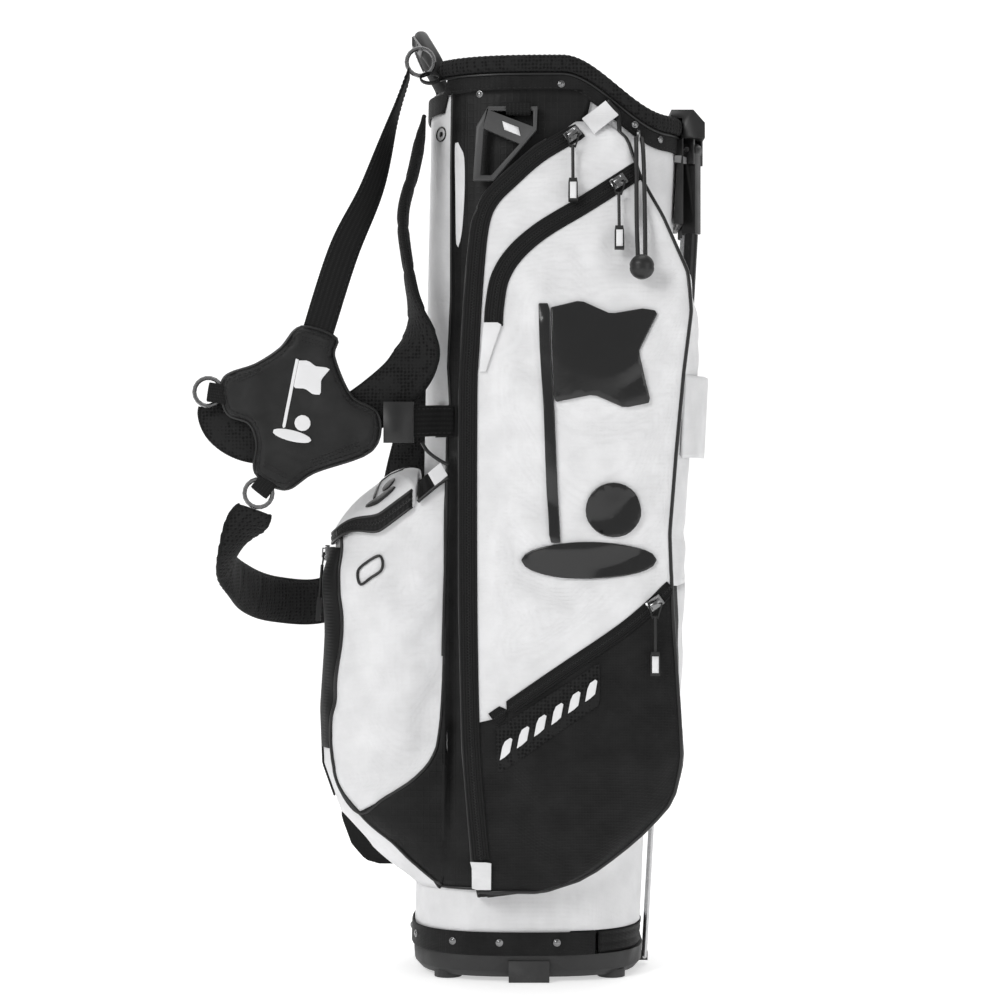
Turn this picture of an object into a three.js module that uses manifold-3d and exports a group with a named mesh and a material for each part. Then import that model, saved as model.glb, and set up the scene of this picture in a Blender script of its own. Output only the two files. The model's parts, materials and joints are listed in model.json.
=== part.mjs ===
// A golf stand bag: a fabric sleeve between a moulded base and a moulded top collar, with pockets,
// zips, a two-pad carrying strap, and two legs that a tilting base cup pushes out.
// Millimetres, +Z up, origin on the floor under the middle of the base. The legs are on the +X
// side, the strap and the ball pocket on the -X side, and the big clothing pocket on the -Y side.
import * as THREE from "three";
import { mergeVertices } from "three/addons/utils/BufferGeometryUtils.js";
import Module from "manifold-3d";

const wasm = await Module();
wasm.setup();

// ---------------------------------------------------------------- driving sizes

const GAP = 0.4; // between pieces that touch
const TUBE_SEAT = 0.1; // between a leg's head and the highest edge of its slanting tube
const RING_POINTS = 44; // points round the sleeve

// Sleeve: a rounded rectangle in plan, a little wider and further to +X at the top.
const SLEEVE = {
  baseHalfX: 109,
  topHalfX: 120,
  halfY: 100,
  lean: 26,
  power: 2.8,
  wall: 3,
  from: 60,
  to: 820,
};
const SLEEVE_BOTTOM = 39.5;
const SLEEVE_RAISED = 47; // its lower edge above the leg side of the base, where the cup rises
const LIFT_EDGE_X = 64; // the lower edges are raised beyond this X

// Rim: level over the strap side and lower over the legs.
const RIM = { high: 864, low: 812, fallFrom: 30, fallTo: 130 };
const RIM_PAD = { height: 17, inside: 9, outside: 6, seat: 1.2, stations: 18.5 };
const CUFF = { height: 13, thickness: 2.2 };
const COLLAR = { wall: 4, height: 48, dipX: -78, dipTop: 836 };

// Base: a cup that tilts on a pin, under a collar that the sleeve is riveted to.
const CUP = { lip: 25, underside: 4, floor: 9, wall: 5, proud: 1.2 };
const HINGE = { x: 70, z: 14.6, pin: 3, pinFit: 0.45, lugRound: 4.8, lugY: 66, lugWide: 8, earWide: 6 };
const BASE_COLLAR = { top: 76, raised: 43.5 };
const BAND_TOP = SLEEVE_BOTTOM - GAP;
const FOOT_TAB = { wide: 38, deep: 5, height: 20 };

// Legs, for the near (-Y) side. The far leg is the mirror image.
const LEG = {
  pivot: { x: 156.5, y: -27, z: 784 },
  splay: 28, // degrees between the way the leg swings and +X
  headHalf: 7,
  headRound: 8.5,
  headDrop: 80,
  tube: 6.6,
  foot: { x: 126, y: -37, z: 168 },
  footRound: 10,
  footHeight: 34,
  pin: 2.6,
};
const ROD = { radius: 2.2, from: { x: 112.8, y: -9, z: 8 }, to: { x: 151, y: -13.8, z: 704 }, boss: 3.6 };

// Clothing pocket: a flat slab whose front leans out from the rim, stands, and tucks in at the foot.
// Each height has the distance that the front stands out from the sleeve's side.
const FRONT = [
  { z: 830, out: 6 },
  { z: 640, out: 47 },
  { z: 220, out: 51 },
  { z: 60, out: 12 },
].map(({ z, out }) => ({ z, y: -SLEEVE.halfY - out }));
const POCKET_BACK_Y = 38 - SLEEVE.halfY;

// Ball pocket: the leftmost X and the half width at each height, under a slanting lid.
const BALL = {
  centreX: -60,
  wall: 4,
  power: 3.2,
  levels: [
    { z: 64, left: -86, halfY: 72 },
    { z: 80, left: -100, halfY: 80 },
    { z: 106, left: -138, halfY: 86 },
    { z: 152, left: -181, halfY: 91 },
    { z: 197, left: -197, halfY: 93 },
    { z: 250, left: -199, halfY: 94 },
    { z: 520, left: -181, halfY: 90 },
  ],
  floorZ: 158,
  topOutZ: 411, // the lid's seat at the outer edge
  topOutX: -184,
  slope: 0.745,
  rightX: -76,
};
const LID = { thick: 17, crown: 8, hingeX: -104.5 };

// Zips.
const ZIP = { tapeThick: 1.6, tapeGap: 0.8, sliderHalf: 5, sliderLong: 15, sliderHigh: 7, pullLong: 66 };

// Strap.
const HUB = { y: -115, thick: 14 };
const WEB = { wide: 30, thick: 2.4 };
const PAD = { wide: 46, thick: 11 };
const RING = { tube: 2, round: 13 };

// Utility handle, and the loop of webbing that it hangs in.
const GRIP = { thick: 8, barHalf: 2, y: -SLEEVE.halfY - 9, z: 811.7, loopInside: 4.9, loopThick: 1.2 };

// Elastic cord with a ball on its end.
const ELASTIC = { radius: 2, ball: 11.5 };

// ---------------------------------------------------------------- helpers

const clamp = (v, lo, hi) => Math.min(hi, Math.max(lo, v));
const mix = (a, b, t) => a + (b - a) * t;
const v3 = (x, y, z) => new THREE.Vector3(x, y, z);
const smooth = (t) => t * t * (3 - 2 * t);

// The closed surface through a stack of rings of equal length. A tube of rings is capped at both
// ends, and a torus joins the last ring to the first.
function loft(rings, torus = false) {
  const n = rings[0].length;
  const points = rings.flat();
  const faces = [];
  const bands = torus ? rings.length : rings.length - 1;
  for (let k = 0; k < bands; k++) {
    const low = k * n;
    const high = ((k + 1) % rings.length) * n;
    for (let i = 0; i < n; i++) {
      const j = (i + 1) % n;
      faces.push(low + i, low + j, high + j, low + i, high + j, high + i);
    }
  }
  if (!torus) {
    for (const [ring, start, turned] of [
      [rings[0], 0, true],
      [rings.at(-1), (rings.length - 1) * n, false],
    ]) {
      const centre = ring.reduce((s, p) => s.add(p), v3(0, 0, 0)).divideScalar(n);
      const c = points.push(centre) - 1;
      for (let i = 0; i < n; i++) {
        const j = (i + 1) % n;
        if (turned) faces.push(c, start + j, start + i);
        else faces.push(c, start + i, start + j);
      }
    }
  }
  return facingOut(indexed(points, faces));
}

function indexed(points, faces) {
  const g = new THREE.BufferGeometry().setFromPoints(points);
  g.setIndex(faces);
  return g;
}

function volumeOf(g) {
  const p = g.getAttribute("position");
  const a = v3(0, 0, 0);
  const b = v3(0, 0, 0);
  const c = v3(0, 0, 0);
  let sum = 0;
  for (let i = 0; i < g.index.count; i += 3) {
    a.fromBufferAttribute(p, g.index.getX(i));
    b.fromBufferAttribute(p, g.index.getX(i + 1));
    c.fromBufferAttribute(p, g.index.getX(i + 2));
    sum += a.dot(b.cross(c)) / 6;
  }
  return sum;
}

function facingOut(g) {
  if (volumeOf(g) >= 0) return g;
  const f = g.index.array;
  for (let i = 0; i < f.length; i += 3) [f[i + 1], f[i + 2]] = [f[i + 2], f[i + 1]];
  return g;
}

function solid(geometry) {
  const bare = geometry.clone();
  bare.deleteAttribute("normal");
  bare.deleteAttribute("uv");
  const merged = mergeVertices(bare, 1e-4);
  return new wasm.Manifold(
    new wasm.Mesh({
      numProp: 3,
      vertProperties: merged.attributes.position.array,
      triVerts: new Uint32Array(merged.index.array),
    }),
  );
}

function geometryOf(manifold) {
  const m = manifold.getMesh();
  const g = new THREE.BufferGeometry();
  g.setAttribute("position", new THREE.BufferAttribute(m.vertProperties, 3));
  g.setIndex(new THREE.BufferAttribute(m.triVerts, 1));
  return g;
}

const join = (...parts) => parts.reduce((all, part) => all.add(part));

function box(lowX, highX, lowY, highY, lowZ, highZ) {
  const g = new THREE.BoxGeometry(highX - lowX, highY - lowY, highZ - lowZ);
  g.translate((lowX + highX) / 2, (lowY + highY) / 2, (lowZ + highZ) / 2);
  return solid(g);
}

// A cylinder, or a cone, from one point to another.
function rod(from, to, radius, segments = 12, radiusTo = radius) {
  const along = to.clone().sub(from);
  const g = new THREE.CylinderGeometry(radiusTo, radius, along.length(), segments);
  g.applyQuaternion(new THREE.Quaternion().setFromUnitVectors(v3(0, 1, 0), along.clone().normalize()));
  g.translate((from.x + to.x) / 2, (from.y + to.y) / 2, (from.z + to.z) / 2);
  return solid(g);
}

// An outline in X and Z, pushed along Y from a low value to a high one.
function placedPrism(outline, lowY, highY) {
  const contour = outline.map(([x, z]) => new THREE.Vector2(x, z));
  const n = contour.length;
  const points = [
    ...contour.map((c) => v3(c.x, lowY, c.y)),
    ...contour.map((c) => v3(c.x, highY, c.y)),
  ];
  const faces = [];
  for (const [a, b, c] of THREE.ShapeUtils.triangulateShape(contour, [])) {
    faces.push(a, b, c, n + a, n + c, n + b);
  }
  const turned = THREE.ShapeUtils.isClockWise(contour);
  for (let i = 0; i < n; i++) {
    const j = (i + 1) % n;
    if (turned) faces.push(i, j, n + j, i, n + j, n + i);
    else faces.push(i, n + j, j, i, n + i, n + j);
  }
  return solid(facingOut(indexed(points, faces)));
}

const smoothPath = (points) => new THREE.CatmullRomCurve3(points.map((p) => v3(...p)), false, "centripetal");

// A flat strip with rounded edges along a path. Each stop gives a point and the way across.
function ribbon(stops, wide, thick, steps) {
  const path = smoothPath(stops.map((s) => s.at));
  const across = smoothPath(stops.map((s) => s.across));
  const rings = [];
  for (let k = 0; k <= steps; k++) {
    const t = k / steps;
    const at = path.getPoint(t);
    const tangent = path.getTangent(t);
    const w = across.getPoint(t);
    w.addScaledVector(tangent, -w.dot(tangent)).normalize();
    const n = tangent.clone().cross(w);
    const half = wide / 2;
    const h = thick / 2;
    const edge = Math.min(h, half) * 0.6;
    rings.push(
      [
        [half, -h + edge],
        [half, h - edge],
        [half - edge, h],
        [-half + edge, h],
        [-half, h - edge],
        [-half, -h + edge],
        [-half + edge, -h],
        [half - edge, -h],
      ].map(([a, b]) => at.clone().addScaledVector(w, a).addScaledVector(n, b)),
    );
  }
  return solid(loft(rings));
}

// ---------------------------------------------------------------- the sleeve's surface

function section(z) {
  const t = clamp((z - SLEEVE.from) / (SLEEVE.to - SLEEVE.from), 0, 1);
  return { cx: SLEEVE.lean * t, a: mix(SLEEVE.baseHalfX, SLEEVE.topHalfX, t), b: SLEEVE.halfY };
}

function superellipse(angle, a, b, power) {
  const c = Math.cos(angle);
  const s = Math.sin(angle);
  return [a * Math.sign(c) * Math.abs(c) ** (2 / power), b * Math.sign(s) * Math.abs(s) ** (2 / power)];
}

// The point on the sleeve's outside at this angle and height, moved out by an offset.
function wallPoint(angle, z, offset) {
  const { cx, a, b } = section(z);
  const [x, y] = superellipse(angle, a + offset, b + offset, SLEEVE.power);
  return v3(cx + x, y, z);
}

// A ring round the sleeve. height takes the wall's X and gives the ring's Z there.
function wallRing(height, offset) {
  const ring = [];
  for (let i = 0; i < RING_POINTS; i++) {
    const angle = (2 * Math.PI * (i + 0.5)) / RING_POINTS;
    const x = wallPoint(angle, height(0), 0).x;
    ring.push(wallPoint(angle, height(x), offset));
  }
  return ring;
}

const level = (z) => () => z;
const raisedPast = (low, high) => (x) => (x > LIFT_EDGE_X ? high : low);

function rimZ(x) {
  return mix(RIM.high, RIM.low, smooth(clamp((x - RIM.fallFrom) / (RIM.fallTo - RIM.fallFrom), 0, 1)));
}

// A shell that hugs the sleeve between two heights, from one offset out to another.
function wallShell(bottom, top, inner, outer) {
  const middle = level(SLEEVE.from);
  const cut = bottom(0) < SLEEVE.from && top(0) > SLEEVE.from;
  const heights = cut ? [bottom, middle, top] : [bottom, top];
  const outside = heights.map((h) => wallRing(h, outer));
  const inside = heights.toReversed().map((h) => wallRing(h, inner));
  return solid(loft([...outside, ...inside], true));
}

// The whole inside of the sleeve's surface as one solid, grown by an offset.
function wallCore(offset) {
  const heights = [0, SLEEVE.from, SLEEVE.to, 920].map(level);
  return solid(loft(heights.map((h) => wallRing(h, offset))));
}

const panelSeat = wallCore(GAP);

// ---------------------------------------------------------------- base

const underRaised = (z) => box(-400, LIFT_EDGE_X, -200, 200, -50, z);

function hingePoint(y) {
  return v3(HINGE.x, y, HINGE.z);
}

function mirrored(y, make) {
  return join(make(-y, -1), make(y, 1));
}

function baseCup() {
  const outer = CUP.proud;
  const body = solid(
    loft([
      wallRing(level(CUP.underside), -5),
      wallRing(level(CUP.underside + 6), outer - 1),
      wallRing(level(CUP.lip), outer),
      wallRing(level(CUP.lip), outer - CUP.wall),
      wallRing(level(CUP.floor), outer - CUP.wall - 1),
    ]),
  );
  const tabs = mirrored(SLEEVE.halfY, (y, side) => {
    const out = y + side * (CUP.proud + 2);
    const inn = out - side * FOOT_TAB.deep;
    const [low, high] = [Math.min(out, inn), Math.max(out, inn)];
    return box(-FOOT_TAB.wide / 2, FOOT_TAB.wide / 2, low, high, 0, FOOT_TAB.height);
  });
  const foot = (x, y) => rod(v3(x, y, 0), v3(x, y, CUP.floor - 1), 13, 16);
  const corners = mirrored(66, (y) => join(foot(-76, y), foot(78, y)));
  const centre = rod(v3(0, 0, 0), v3(0, 0, CUP.floor - 1), 30, 24);
  const ears = mirrored(HINGE.lugY + HINGE.lugWide / 2 + GAP + HINGE.earWide / 2, (y) =>
    box(HINGE.x - 7, HINGE.x + 7, y - HINGE.earWide / 2, y + HINGE.earWide / 2, CUP.floor - 1, HINGE.z + 7),
  );
  const holes = rod(hingePoint(-100), hingePoint(100), HINGE.pin + HINGE.pinFit, 16);
  const inside = box(HINGE.x - 10, HINGE.x + 10, -82, 82, 5, 26);
  return join(body, tabs, corners, centre, ears, rodAnchor()).subtract(holes.intersect(inside));
}

// The boss on the cup's leg side that the two push rods stand on.
function rodAnchor() {
  return box(104, ROD.from.x + 3.2, -ROD.boss, ROD.boss, ROD.from.z - 4.6, ROD.from.z + 4);
}

function baseHingePin() {
  const half = HINGE.lugY + HINGE.lugWide / 2 + GAP + HINGE.earWide - 1;
  return rod(hingePoint(-half), hingePoint(half), HINGE.pin, 12);
}

function baseCollar() {
  const outer = -SLEEVE.wall - GAP;
  const ring = wallShell(
    raisedPast(CUP.lip + GAP, BASE_COLLAR.raised),
    level(BASE_COLLAR.top),
    outer - COLLAR.wall,
    outer,
  );
  const hinge = mirrored(HINGE.lugY, (y) => {
    const [low, high] = [y - HINGE.lugWide / 2, y + HINGE.lugWide / 2];
    const web = box(HINGE.x - HINGE.lugRound, HINGE.x + HINGE.lugRound, low, high, HINGE.z, 60);
    const edge = Math.sign(y) * SLEEVE.halfY;
    const reach = box(HINGE.x - 5, HINGE.x + 5, Math.min(low, edge), Math.max(high, edge), 46, 60);
    const round = rod(v3(HINGE.x, low, HINGE.z), v3(HINGE.x, high, HINGE.z), HINGE.lugRound, 16);
    return join(web, reach, round).intersect(wallCore(outer));
  });
  const hole = rod(hingePoint(-100), hingePoint(100), HINGE.pin + HINGE.pinFit, 16);
  return join(ring, hinge).subtract(hole);
}

function baseBand() {
  const ring = wallShell(level(CUP.lip + GAP), level(BAND_TOP), -SLEEVE.wall, 0.8);
  return ring.intersect(underRaised(BAND_TOP + 1));
}

function baseGusset() {
  const ring = wallShell(level(CUP.lip + GAP), level(SLEEVE_RAISED - GAP), -SLEEVE.wall, 0.8);
  return ring.subtract(box(-400, LIFT_EDGE_X + GAP, -200, 200, 0, 100));
}

// ---------------------------------------------------------------- sleeve, collar and rim

const sleeveTop = (x) => rimZ(x) - RIM_PAD.height - CUFF.height - 2;

function bagSleeve() {
  const top = (x) => Math.min(sleeveTop(x), x < COLLAR.dipX ? COLLAR.dipTop - 16 : 900);
  return wallShell(raisedPast(SLEEVE_BOTTOM, SLEEVE_RAISED), top, -SLEEVE.wall, 0);
}

const collarTop = (x) => (x < COLLAR.dipX ? COLLAR.dipTop : rimZ(x) - RIM_PAD.height - RIM_PAD.seat);

function topCollar() {
  const outer = -SLEEVE.wall - GAP;
  const foot = (x) => rimZ(x) - RIM_PAD.height - COLLAR.height - 20;
  return wallShell(foot, collarTop, outer - COLLAR.wall, outer);
}

// The pad runs round the rim between these angles and leaves the strap end open for the handle.
const RIM_END = (2 * Math.PI * RIM_PAD.stations) / RING_POINTS;

// A bar round the rim, grown on every side.
function rimPad(grow = 0) {
  const rings = [];
  const height = RIM_PAD.height + grow;
  const inside = RIM_PAD.inside + grow;
  const outside = RIM_PAD.outside + grow;
  for (let k = -RIM_PAD.stations; k <= RIM_PAD.stations; k++) {
    const angle = (2 * Math.PI * k) / RING_POINTS;
    const top = rimZ(wallPoint(angle, RIM.high, 0).x);
    const place = (o, drop) => {
      const p = wallPoint(angle, RIM.high, o);
      return v3(p.x, p.y, top - drop);
    };
    rings.push([
      place(-inside, height),
      place(-inside, 6),
      place(-inside * 0.5, 0.5 - grow),
      place(outside * 0.4, -grow),
      place(outside, 5),
      place(outside, height - 4),
      place(outside * 0.6, height),
    ]);
  }
  return solid(loft(rings));
}

function cuffBand() {
  return wallShell(
    (x) => sleeveTop(x) - 2,
    (x) => (x < COLLAR.dipX ? COLLAR.dipTop - 4 : rimZ(x) - RIM_PAD.height - RIM_PAD.seat),
    GAP,
    CUFF.thickness,
  );
}

// The lift handle: a bar that arches out and up over the strap end, from one end of the pad to the other.
function liftHandle() {
  const steps = 14;
  const rings = [];
  for (let k = 0; k <= steps; k++) {
    const t = k / steps;
    const angle = mix(RIM_END + 0.03, 2 * Math.PI - RIM_END - 0.03, t);
    const rise = Math.sin(Math.PI * t) ** 0.7;
    const offset = mix(-1, 9, rise);
    const low = mix(RIM.high - RIM_PAD.height, RIM.high + 20, rise);
    const tall = mix(RIM_PAD.height, 19, rise);
    const place = (o, up) => {
      const p = wallPoint(angle, 850, offset + o);
      return v3(p.x, p.y, low + up);
    };
    rings.push([
      place(-6, 3),
      place(-4, tall - 2),
      place(-1, tall),
      place(6, tall),
      place(8, tall - 3),
      place(7, 4),
      place(3, 0),
      place(-3, 0),
    ]);
  }
  return solid(loft(rings));
}

function clubDivider() {
  const { cx, a } = section(SLEEVE.to);
  const inner = wallCore(-SLEEVE.wall - 2 * GAP - COLLAR.wall);
  const low = 700;
  const high = RIM.high - RIM_PAD.height - 4;
  const along = box(cx - a, cx + a, -2.5, 2.5, low, high);
  const cross = join(along, box(cx - 2.5, cx + 2.5, -120, 120, low, high));
  const fall = placedPrism(
    [
      [40, RIM.high + 40],
      [40, RIM.high - RIM_PAD.height - 4],
      [120, RIM.low - RIM_PAD.height],
      [200, RIM.low - RIM_PAD.height],
      [200, RIM.high + 40],
    ],
    -150,
    150,
  );
  return cross.intersect(inner).subtract(fall);
}

// Flat stays stand between the two collars, in line with their walls.
function stay(angle, half) {
  const outer = -SLEEVE.wall - GAP;
  const top = (x) => rimZ(x) - RIM_PAD.height - COLLAR.height - 20 - GAP;
  const shell = wallShell(level(BASE_COLLAR.top + GAP), top, outer - COLLAR.wall, outer);
  const p = wallPoint(angle, 400, 0);
  const radial = Math.abs(Math.cos(angle)) > 0.7;
  const keep = radial
    ? box(p.x - 60, p.x + 60, p.y - half, p.y + half, 0, 900)
    : box(p.x - half, p.x + half, p.y - 60, p.y + 60, 0, 900);
  return shell.intersect(keep);
}

// ---------------------------------------------------------------- legs

const near = (p) => v3(p.x, p.y, p.z);
const onSide = (side, p) => v3(p.x, -side * p.y, p.z);

function legFrame(side) {
  const angle = THREE.MathUtils.degToRad(LEG.splay);
  return {
    out: v3(Math.cos(angle), side * Math.sin(angle), 0),
    axis: v3(-Math.sin(angle), side * Math.cos(angle), 0),
    pivot: onSide(side, near(LEG.pivot)),
  };
}

function turnedBox(side, halfOut, halfAxis, lowZ, highZ, shiftOut = 0, shiftAxis = 0) {
  const { out, axis, pivot } = legFrame(side);
  const centre = pivot.clone().addScaledVector(out, shiftOut).addScaledVector(axis, shiftAxis);
  const corner = (o, a, z) =>
    v3(centre.x, centre.y, pivot.z + z).addScaledVector(out, o).addScaledVector(axis, a);
  const ring = (z) => [
    corner(-halfOut, -halfAxis, z),
    corner(halfOut, -halfAxis, z),
    corner(halfOut, halfAxis, z),
    corner(-halfOut, halfAxis, z),
  ];
  return solid(loft([ring(lowZ), ring(highZ)]));
}

function legHead(side) {
  const { axis, pivot } = legFrame(side);
  const end = (s) => pivot.clone().addScaledVector(axis, s * LEG.headHalf);
  const knuckle = rod(end(-1), end(1), LEG.headRound, 20);
  const shank = turnedBox(side, LEG.headHalf, LEG.headHalf, -LEG.headDrop, 0);
  const bore = rod(
    pivot.clone().addScaledVector(axis, -20),
    pivot.clone().addScaledVector(axis, 20),
    LEG.pin + GAP,
    16,
  );
  return join(knuckle, shank).subtract(bore);
}

function legPin(side) {
  const { axis, pivot } = legFrame(side);
  const reach = LEG.headHalf + 4.4;
  return rod(
    pivot.clone().addScaledVector(axis, -reach),
    pivot.clone().addScaledVector(axis, reach),
    LEG.pin,
    12,
  );
}

function legEnds(side) {
  const { pivot } = legFrame(side);
  const foot = onSide(side, near(LEG.foot));
  const slant = Math.hypot(foot.x - pivot.x, foot.y - pivot.y) / (pivot.z - foot.z);
  const top = pivot.clone().add(v3(0, 0, -LEG.headDrop - LEG.tube * slant - TUBE_SEAT));
  return { top, foot };
}

function legTube(side) {
  const { top, foot } = legEnds(side);
  const way = top.clone().sub(foot).normalize();
  return rod(top, foot.clone().addScaledVector(way, LEG.footHeight * 0.5), LEG.tube, 16);
}

function legFoot(side) {
  const { top, foot } = legEnds(side);
  const way = top.clone().sub(foot).normalize();
  const high = foot.clone().addScaledVector(way, LEG.footHeight);
  const sock = rod(foot, high, LEG.footRound, 16, LEG.tube + 1.6);
  const mouth = foot.clone().addScaledVector(way, LEG.footHeight * 0.5 - 1.5);
  return sock.subtract(rod(mouth, high.clone().addScaledVector(way, 5), LEG.tube + GAP, 16));
}

function legBracket() {
  const pivotZ = LEG.pivot.z;
  const roofZ = pivotZ + LEG.headRound + 1.1;
  const plate = box(118, LEG.pivot.x - LEG.headRound - 0.5, -46, 46, pivotZ - 72, roofZ + 1);
  const cap = placedPrism(
    [
      [136, roofZ],
      [168, roofZ],
      [168, RIM.low - 4],
      [157, RIM.low + 8.5],
      [136, RIM.low + 8.5],
    ],
    -48,
    48,
  );
  const cheeks = [-1, 1].flatMap((side) =>
    [-1, 1].map((s) => turnedBox(side, 9, 2, -14, 12, -2, s * (LEG.headHalf + GAP + 2))),
  );
  const bores = [-1, 1].map((side) => {
    const { axis, pivot } = legFrame(side);
    const reach = LEG.headHalf + 10;
    return rod(
      pivot.clone().addScaledVector(axis, -reach),
      pivot.clone().addScaledVector(axis, reach),
      LEG.pin + GAP,
      16,
    );
  });
  const clear = [-1, 1].map((side) =>
    turnedBox(side, LEG.headHalf + 2.2, LEG.headHalf + GAP, -LEG.headDrop - 20, LEG.headRound + 1),
  );
  const wall = wallCore(CUFF.thickness + GAP).trimByPlane([0, 0, -1], -RIM.low);
  const underRim = wallCore(RIM_PAD.outside)
    .trimByPlane([0, 0, 1], RIM.low - RIM_PAD.height - 2)
    .subtract(box(100, 200, -100, 100, RIM.low + GAP, 920));
  return [wall, rimPad(GAP), underRim, ...clear, ...bores].reduce(
    (left, cut) => left.subtract(cut),
    join(plate, cap, ...cheeks),
  );
}

function pushRod(side) {
  const from = onSide(side, near(ROD.from));
  const to = onSide(side, near(ROD.to));
  const hook = v3(from.x, side * (ROD.boss + GAP), from.z);
  return join(rod(hook, from, ROD.radius, 10), rod(from, to, ROD.radius, 10));
}

function legStrap() {
  // A hook-and-loop tab on the clothing pocket's edge that is wrapped round the folded legs.
  return ribbon(
    [
      { at: [160, -98, 526], across: [0, 0, 1] },
      { at: [161.6, -88, 526], across: [0, 0, 1] },
      { at: [164.4, -78, 526], across: [0, 0, 1] },
      { at: [166.6, -69, 526], across: [0, 0, 1] },
    ],
    76,
    2.4,
    8,
  );
}

// ---------------------------------------------------------------- clothing pockets

function frontY(z) {
  for (let k = 1; k < FRONT.length; k++) {
    const [up, down] = [FRONT[k - 1], FRONT[k]];
    if (z >= down.z) return mix(down.y, up.y, clamp((z - down.z) / (up.z - down.z), 0, 1));
  }
  return FRONT.at(-1).y;
}

// Everything behind the pockets' front face, as a prism along X.
function behindFront(deeper = 0) {
  const ring = (x) => [
    v3(x, 0, FRONT[0].z + 60),
    v3(x, FRONT[0].y + deeper, FRONT[0].z + 60),
    ...FRONT.map((f) => v3(x, f.y + deeper, f.z)),
    v3(x, FRONT.at(-1).y + deeper, 20),
    v3(x, 0, 20),
  ];
  return solid(loft([ring(-300), ring(300)]));
}

// The middle of the main zip, from its slider at the top down to the foot of the bag.
const MAIN_ZIP = [
  [47, 791],
  [10, 769],
  [-17, 745],
  [-36, 725],
  [-45, 702],
  [-50, 655],
  [-54, 590],
  [-56, 540],
  [-56, 358],
  [-53, 221],
  [-45, 118],
];
const MAIN_ZIP_HALF = 8;

// The middle of the second zip, which curves into the main one.
const UPPER_ZIP = [
  [100, 753],
  [91, 747],
  [51, 721],
  [12, 697],
  [-13, 675],
  [-27, 652],
  [-32, 625],
  [-33, 608],
];
const UPPER_ZIP_HALF = 6.5;

const POCKET_RIGHT = [
  [-36, 80],
  [0, 79],
  [33, 87],
  [66, 108],
  [102, 137],
  [134, 172],
  [141, 211],
  [139, 253],
  [132, 354],
  [130, 419],
  [136, 493],
  [143, 567],
  [150, 622],
  [147, 658],
  [125, 710],
  [104, 748],
  [93, 784],
  [72, 802],
  [56, 800],
];

// The line beside another one, to its right going down when the distance is positive.
function beside(line, distance) {
  return line.map(([x, z], k) => {
    const [ax, az] = line[Math.max(0, k - 1)];
    const [bx, bz] = line[Math.min(line.length - 1, k + 1)];
    const long = Math.hypot(bx - ax, bz - az);
    return [x - ((bz - az) / long) * distance, z + ((bx - ax) / long) * distance];
  });
}

const POCKET_OUTLINE = [...beside(MAIN_ZIP, -MAIN_ZIP_HALF - 1), ...POCKET_RIGHT];

// The black lower pocket lies below this line, and its zip runs along the line's middle stretch.
const LOWER_ZIP = [
  [-34, 244],
  [-25, 256],
  [83, 329],
  [114, 355],
  [128, 370],
];
const LOWER_ZIP_HALF = 6;
const LOWER_LINE = [[-90, 236], ...LOWER_ZIP, [200, 384]];

function lowerHalf(shift) {
  const line = LOWER_LINE.map(([x, z]) => [x, z + shift]);
  return placedPrism([...line, [200, -50], [-90, -50]], -300, 300);
}

// How far the gusset on the leg side stands past the pocket's piping at each height.
const FLARE = [
  [700, 0],
  [640, 6],
  [600, 13],
  [540, 17],
  [400, 17],
  [340, 14],
  [300, 8],
  [250, 0],
];
const FLARE_FRONT_Y = -SLEEVE.halfY - 12;

function rightEdge(z) {
  for (let k = 1; k < POCKET_RIGHT.length; k++) {
    const [low, high] = [POCKET_RIGHT[k - 1], POCKET_RIGHT[k]];
    if (z >= low[1] && z <= high[1]) return mix(low[0], high[0], (z - low[1]) / (high[1] - low[1]));
  }
  return POCKET_RIGHT[0][0];
}

function flare() {
  const edge = FLARE.map(([z, past]) => [rightEdge(z) + past, z]);
  const outline = [[100, FLARE.at(-1)[0]], [100, FLARE[0][0]], ...edge];
  return placedPrism(outline, FLARE_FRONT_Y, POCKET_BACK_Y).subtract(panelSeat);
}

function nearPocket() {
  return join(prismTo(POCKET_OUTLINE, POCKET_BACK_Y), flare()).intersect(behindFront());
}

function prismTo(outline, backY) {
  return placedPrism(outline, -200, backY).subtract(panelSeat);
}

function clothingPocket() {
  return nearPocket().subtract(lowerHalf(GAP / 2));
}

function valuablesPocket() {
  return nearPocket().intersect(lowerHalf(-GAP / 2));
}

function flipY(manifold) {
  return manifold.mirror([0, 1, 0]);
}

// The pocket on the far side is the near one's outline without the split.
function farPocket() {
  return flipY(join(prismTo(POCKET_OUTLINE, POCKET_BACK_Y), flare()).intersect(behindFront(14)));
}

const PANEL_SKIN = 2.6; // how far the side panel stands out from the sleeve
const PANEL = { left: -86, right: -66.5, foot: 545, top: 822 };

function sidePanel() {
  const edge = beside(MAIN_ZIP, -MAIN_ZIP_HALF - 2.5).filter(([, z]) => z > PANEL.foot);
  const outline = [
    [PANEL.left, PANEL.foot],
    [PANEL.left, PANEL.top],
    [50, PANEL.top],
    ...edge,
    [PANEL.right, PANEL.foot],
  ];
  const shell = wallShell(level(SLEEVE.from + 1), (x) => sleeveTop(x) - 3, GAP, PANEL_SKIN);
  return shell.intersect(placedPrism(outline, -200, 0));
}

// ---------------------------------------------------------------- ball pocket

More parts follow.
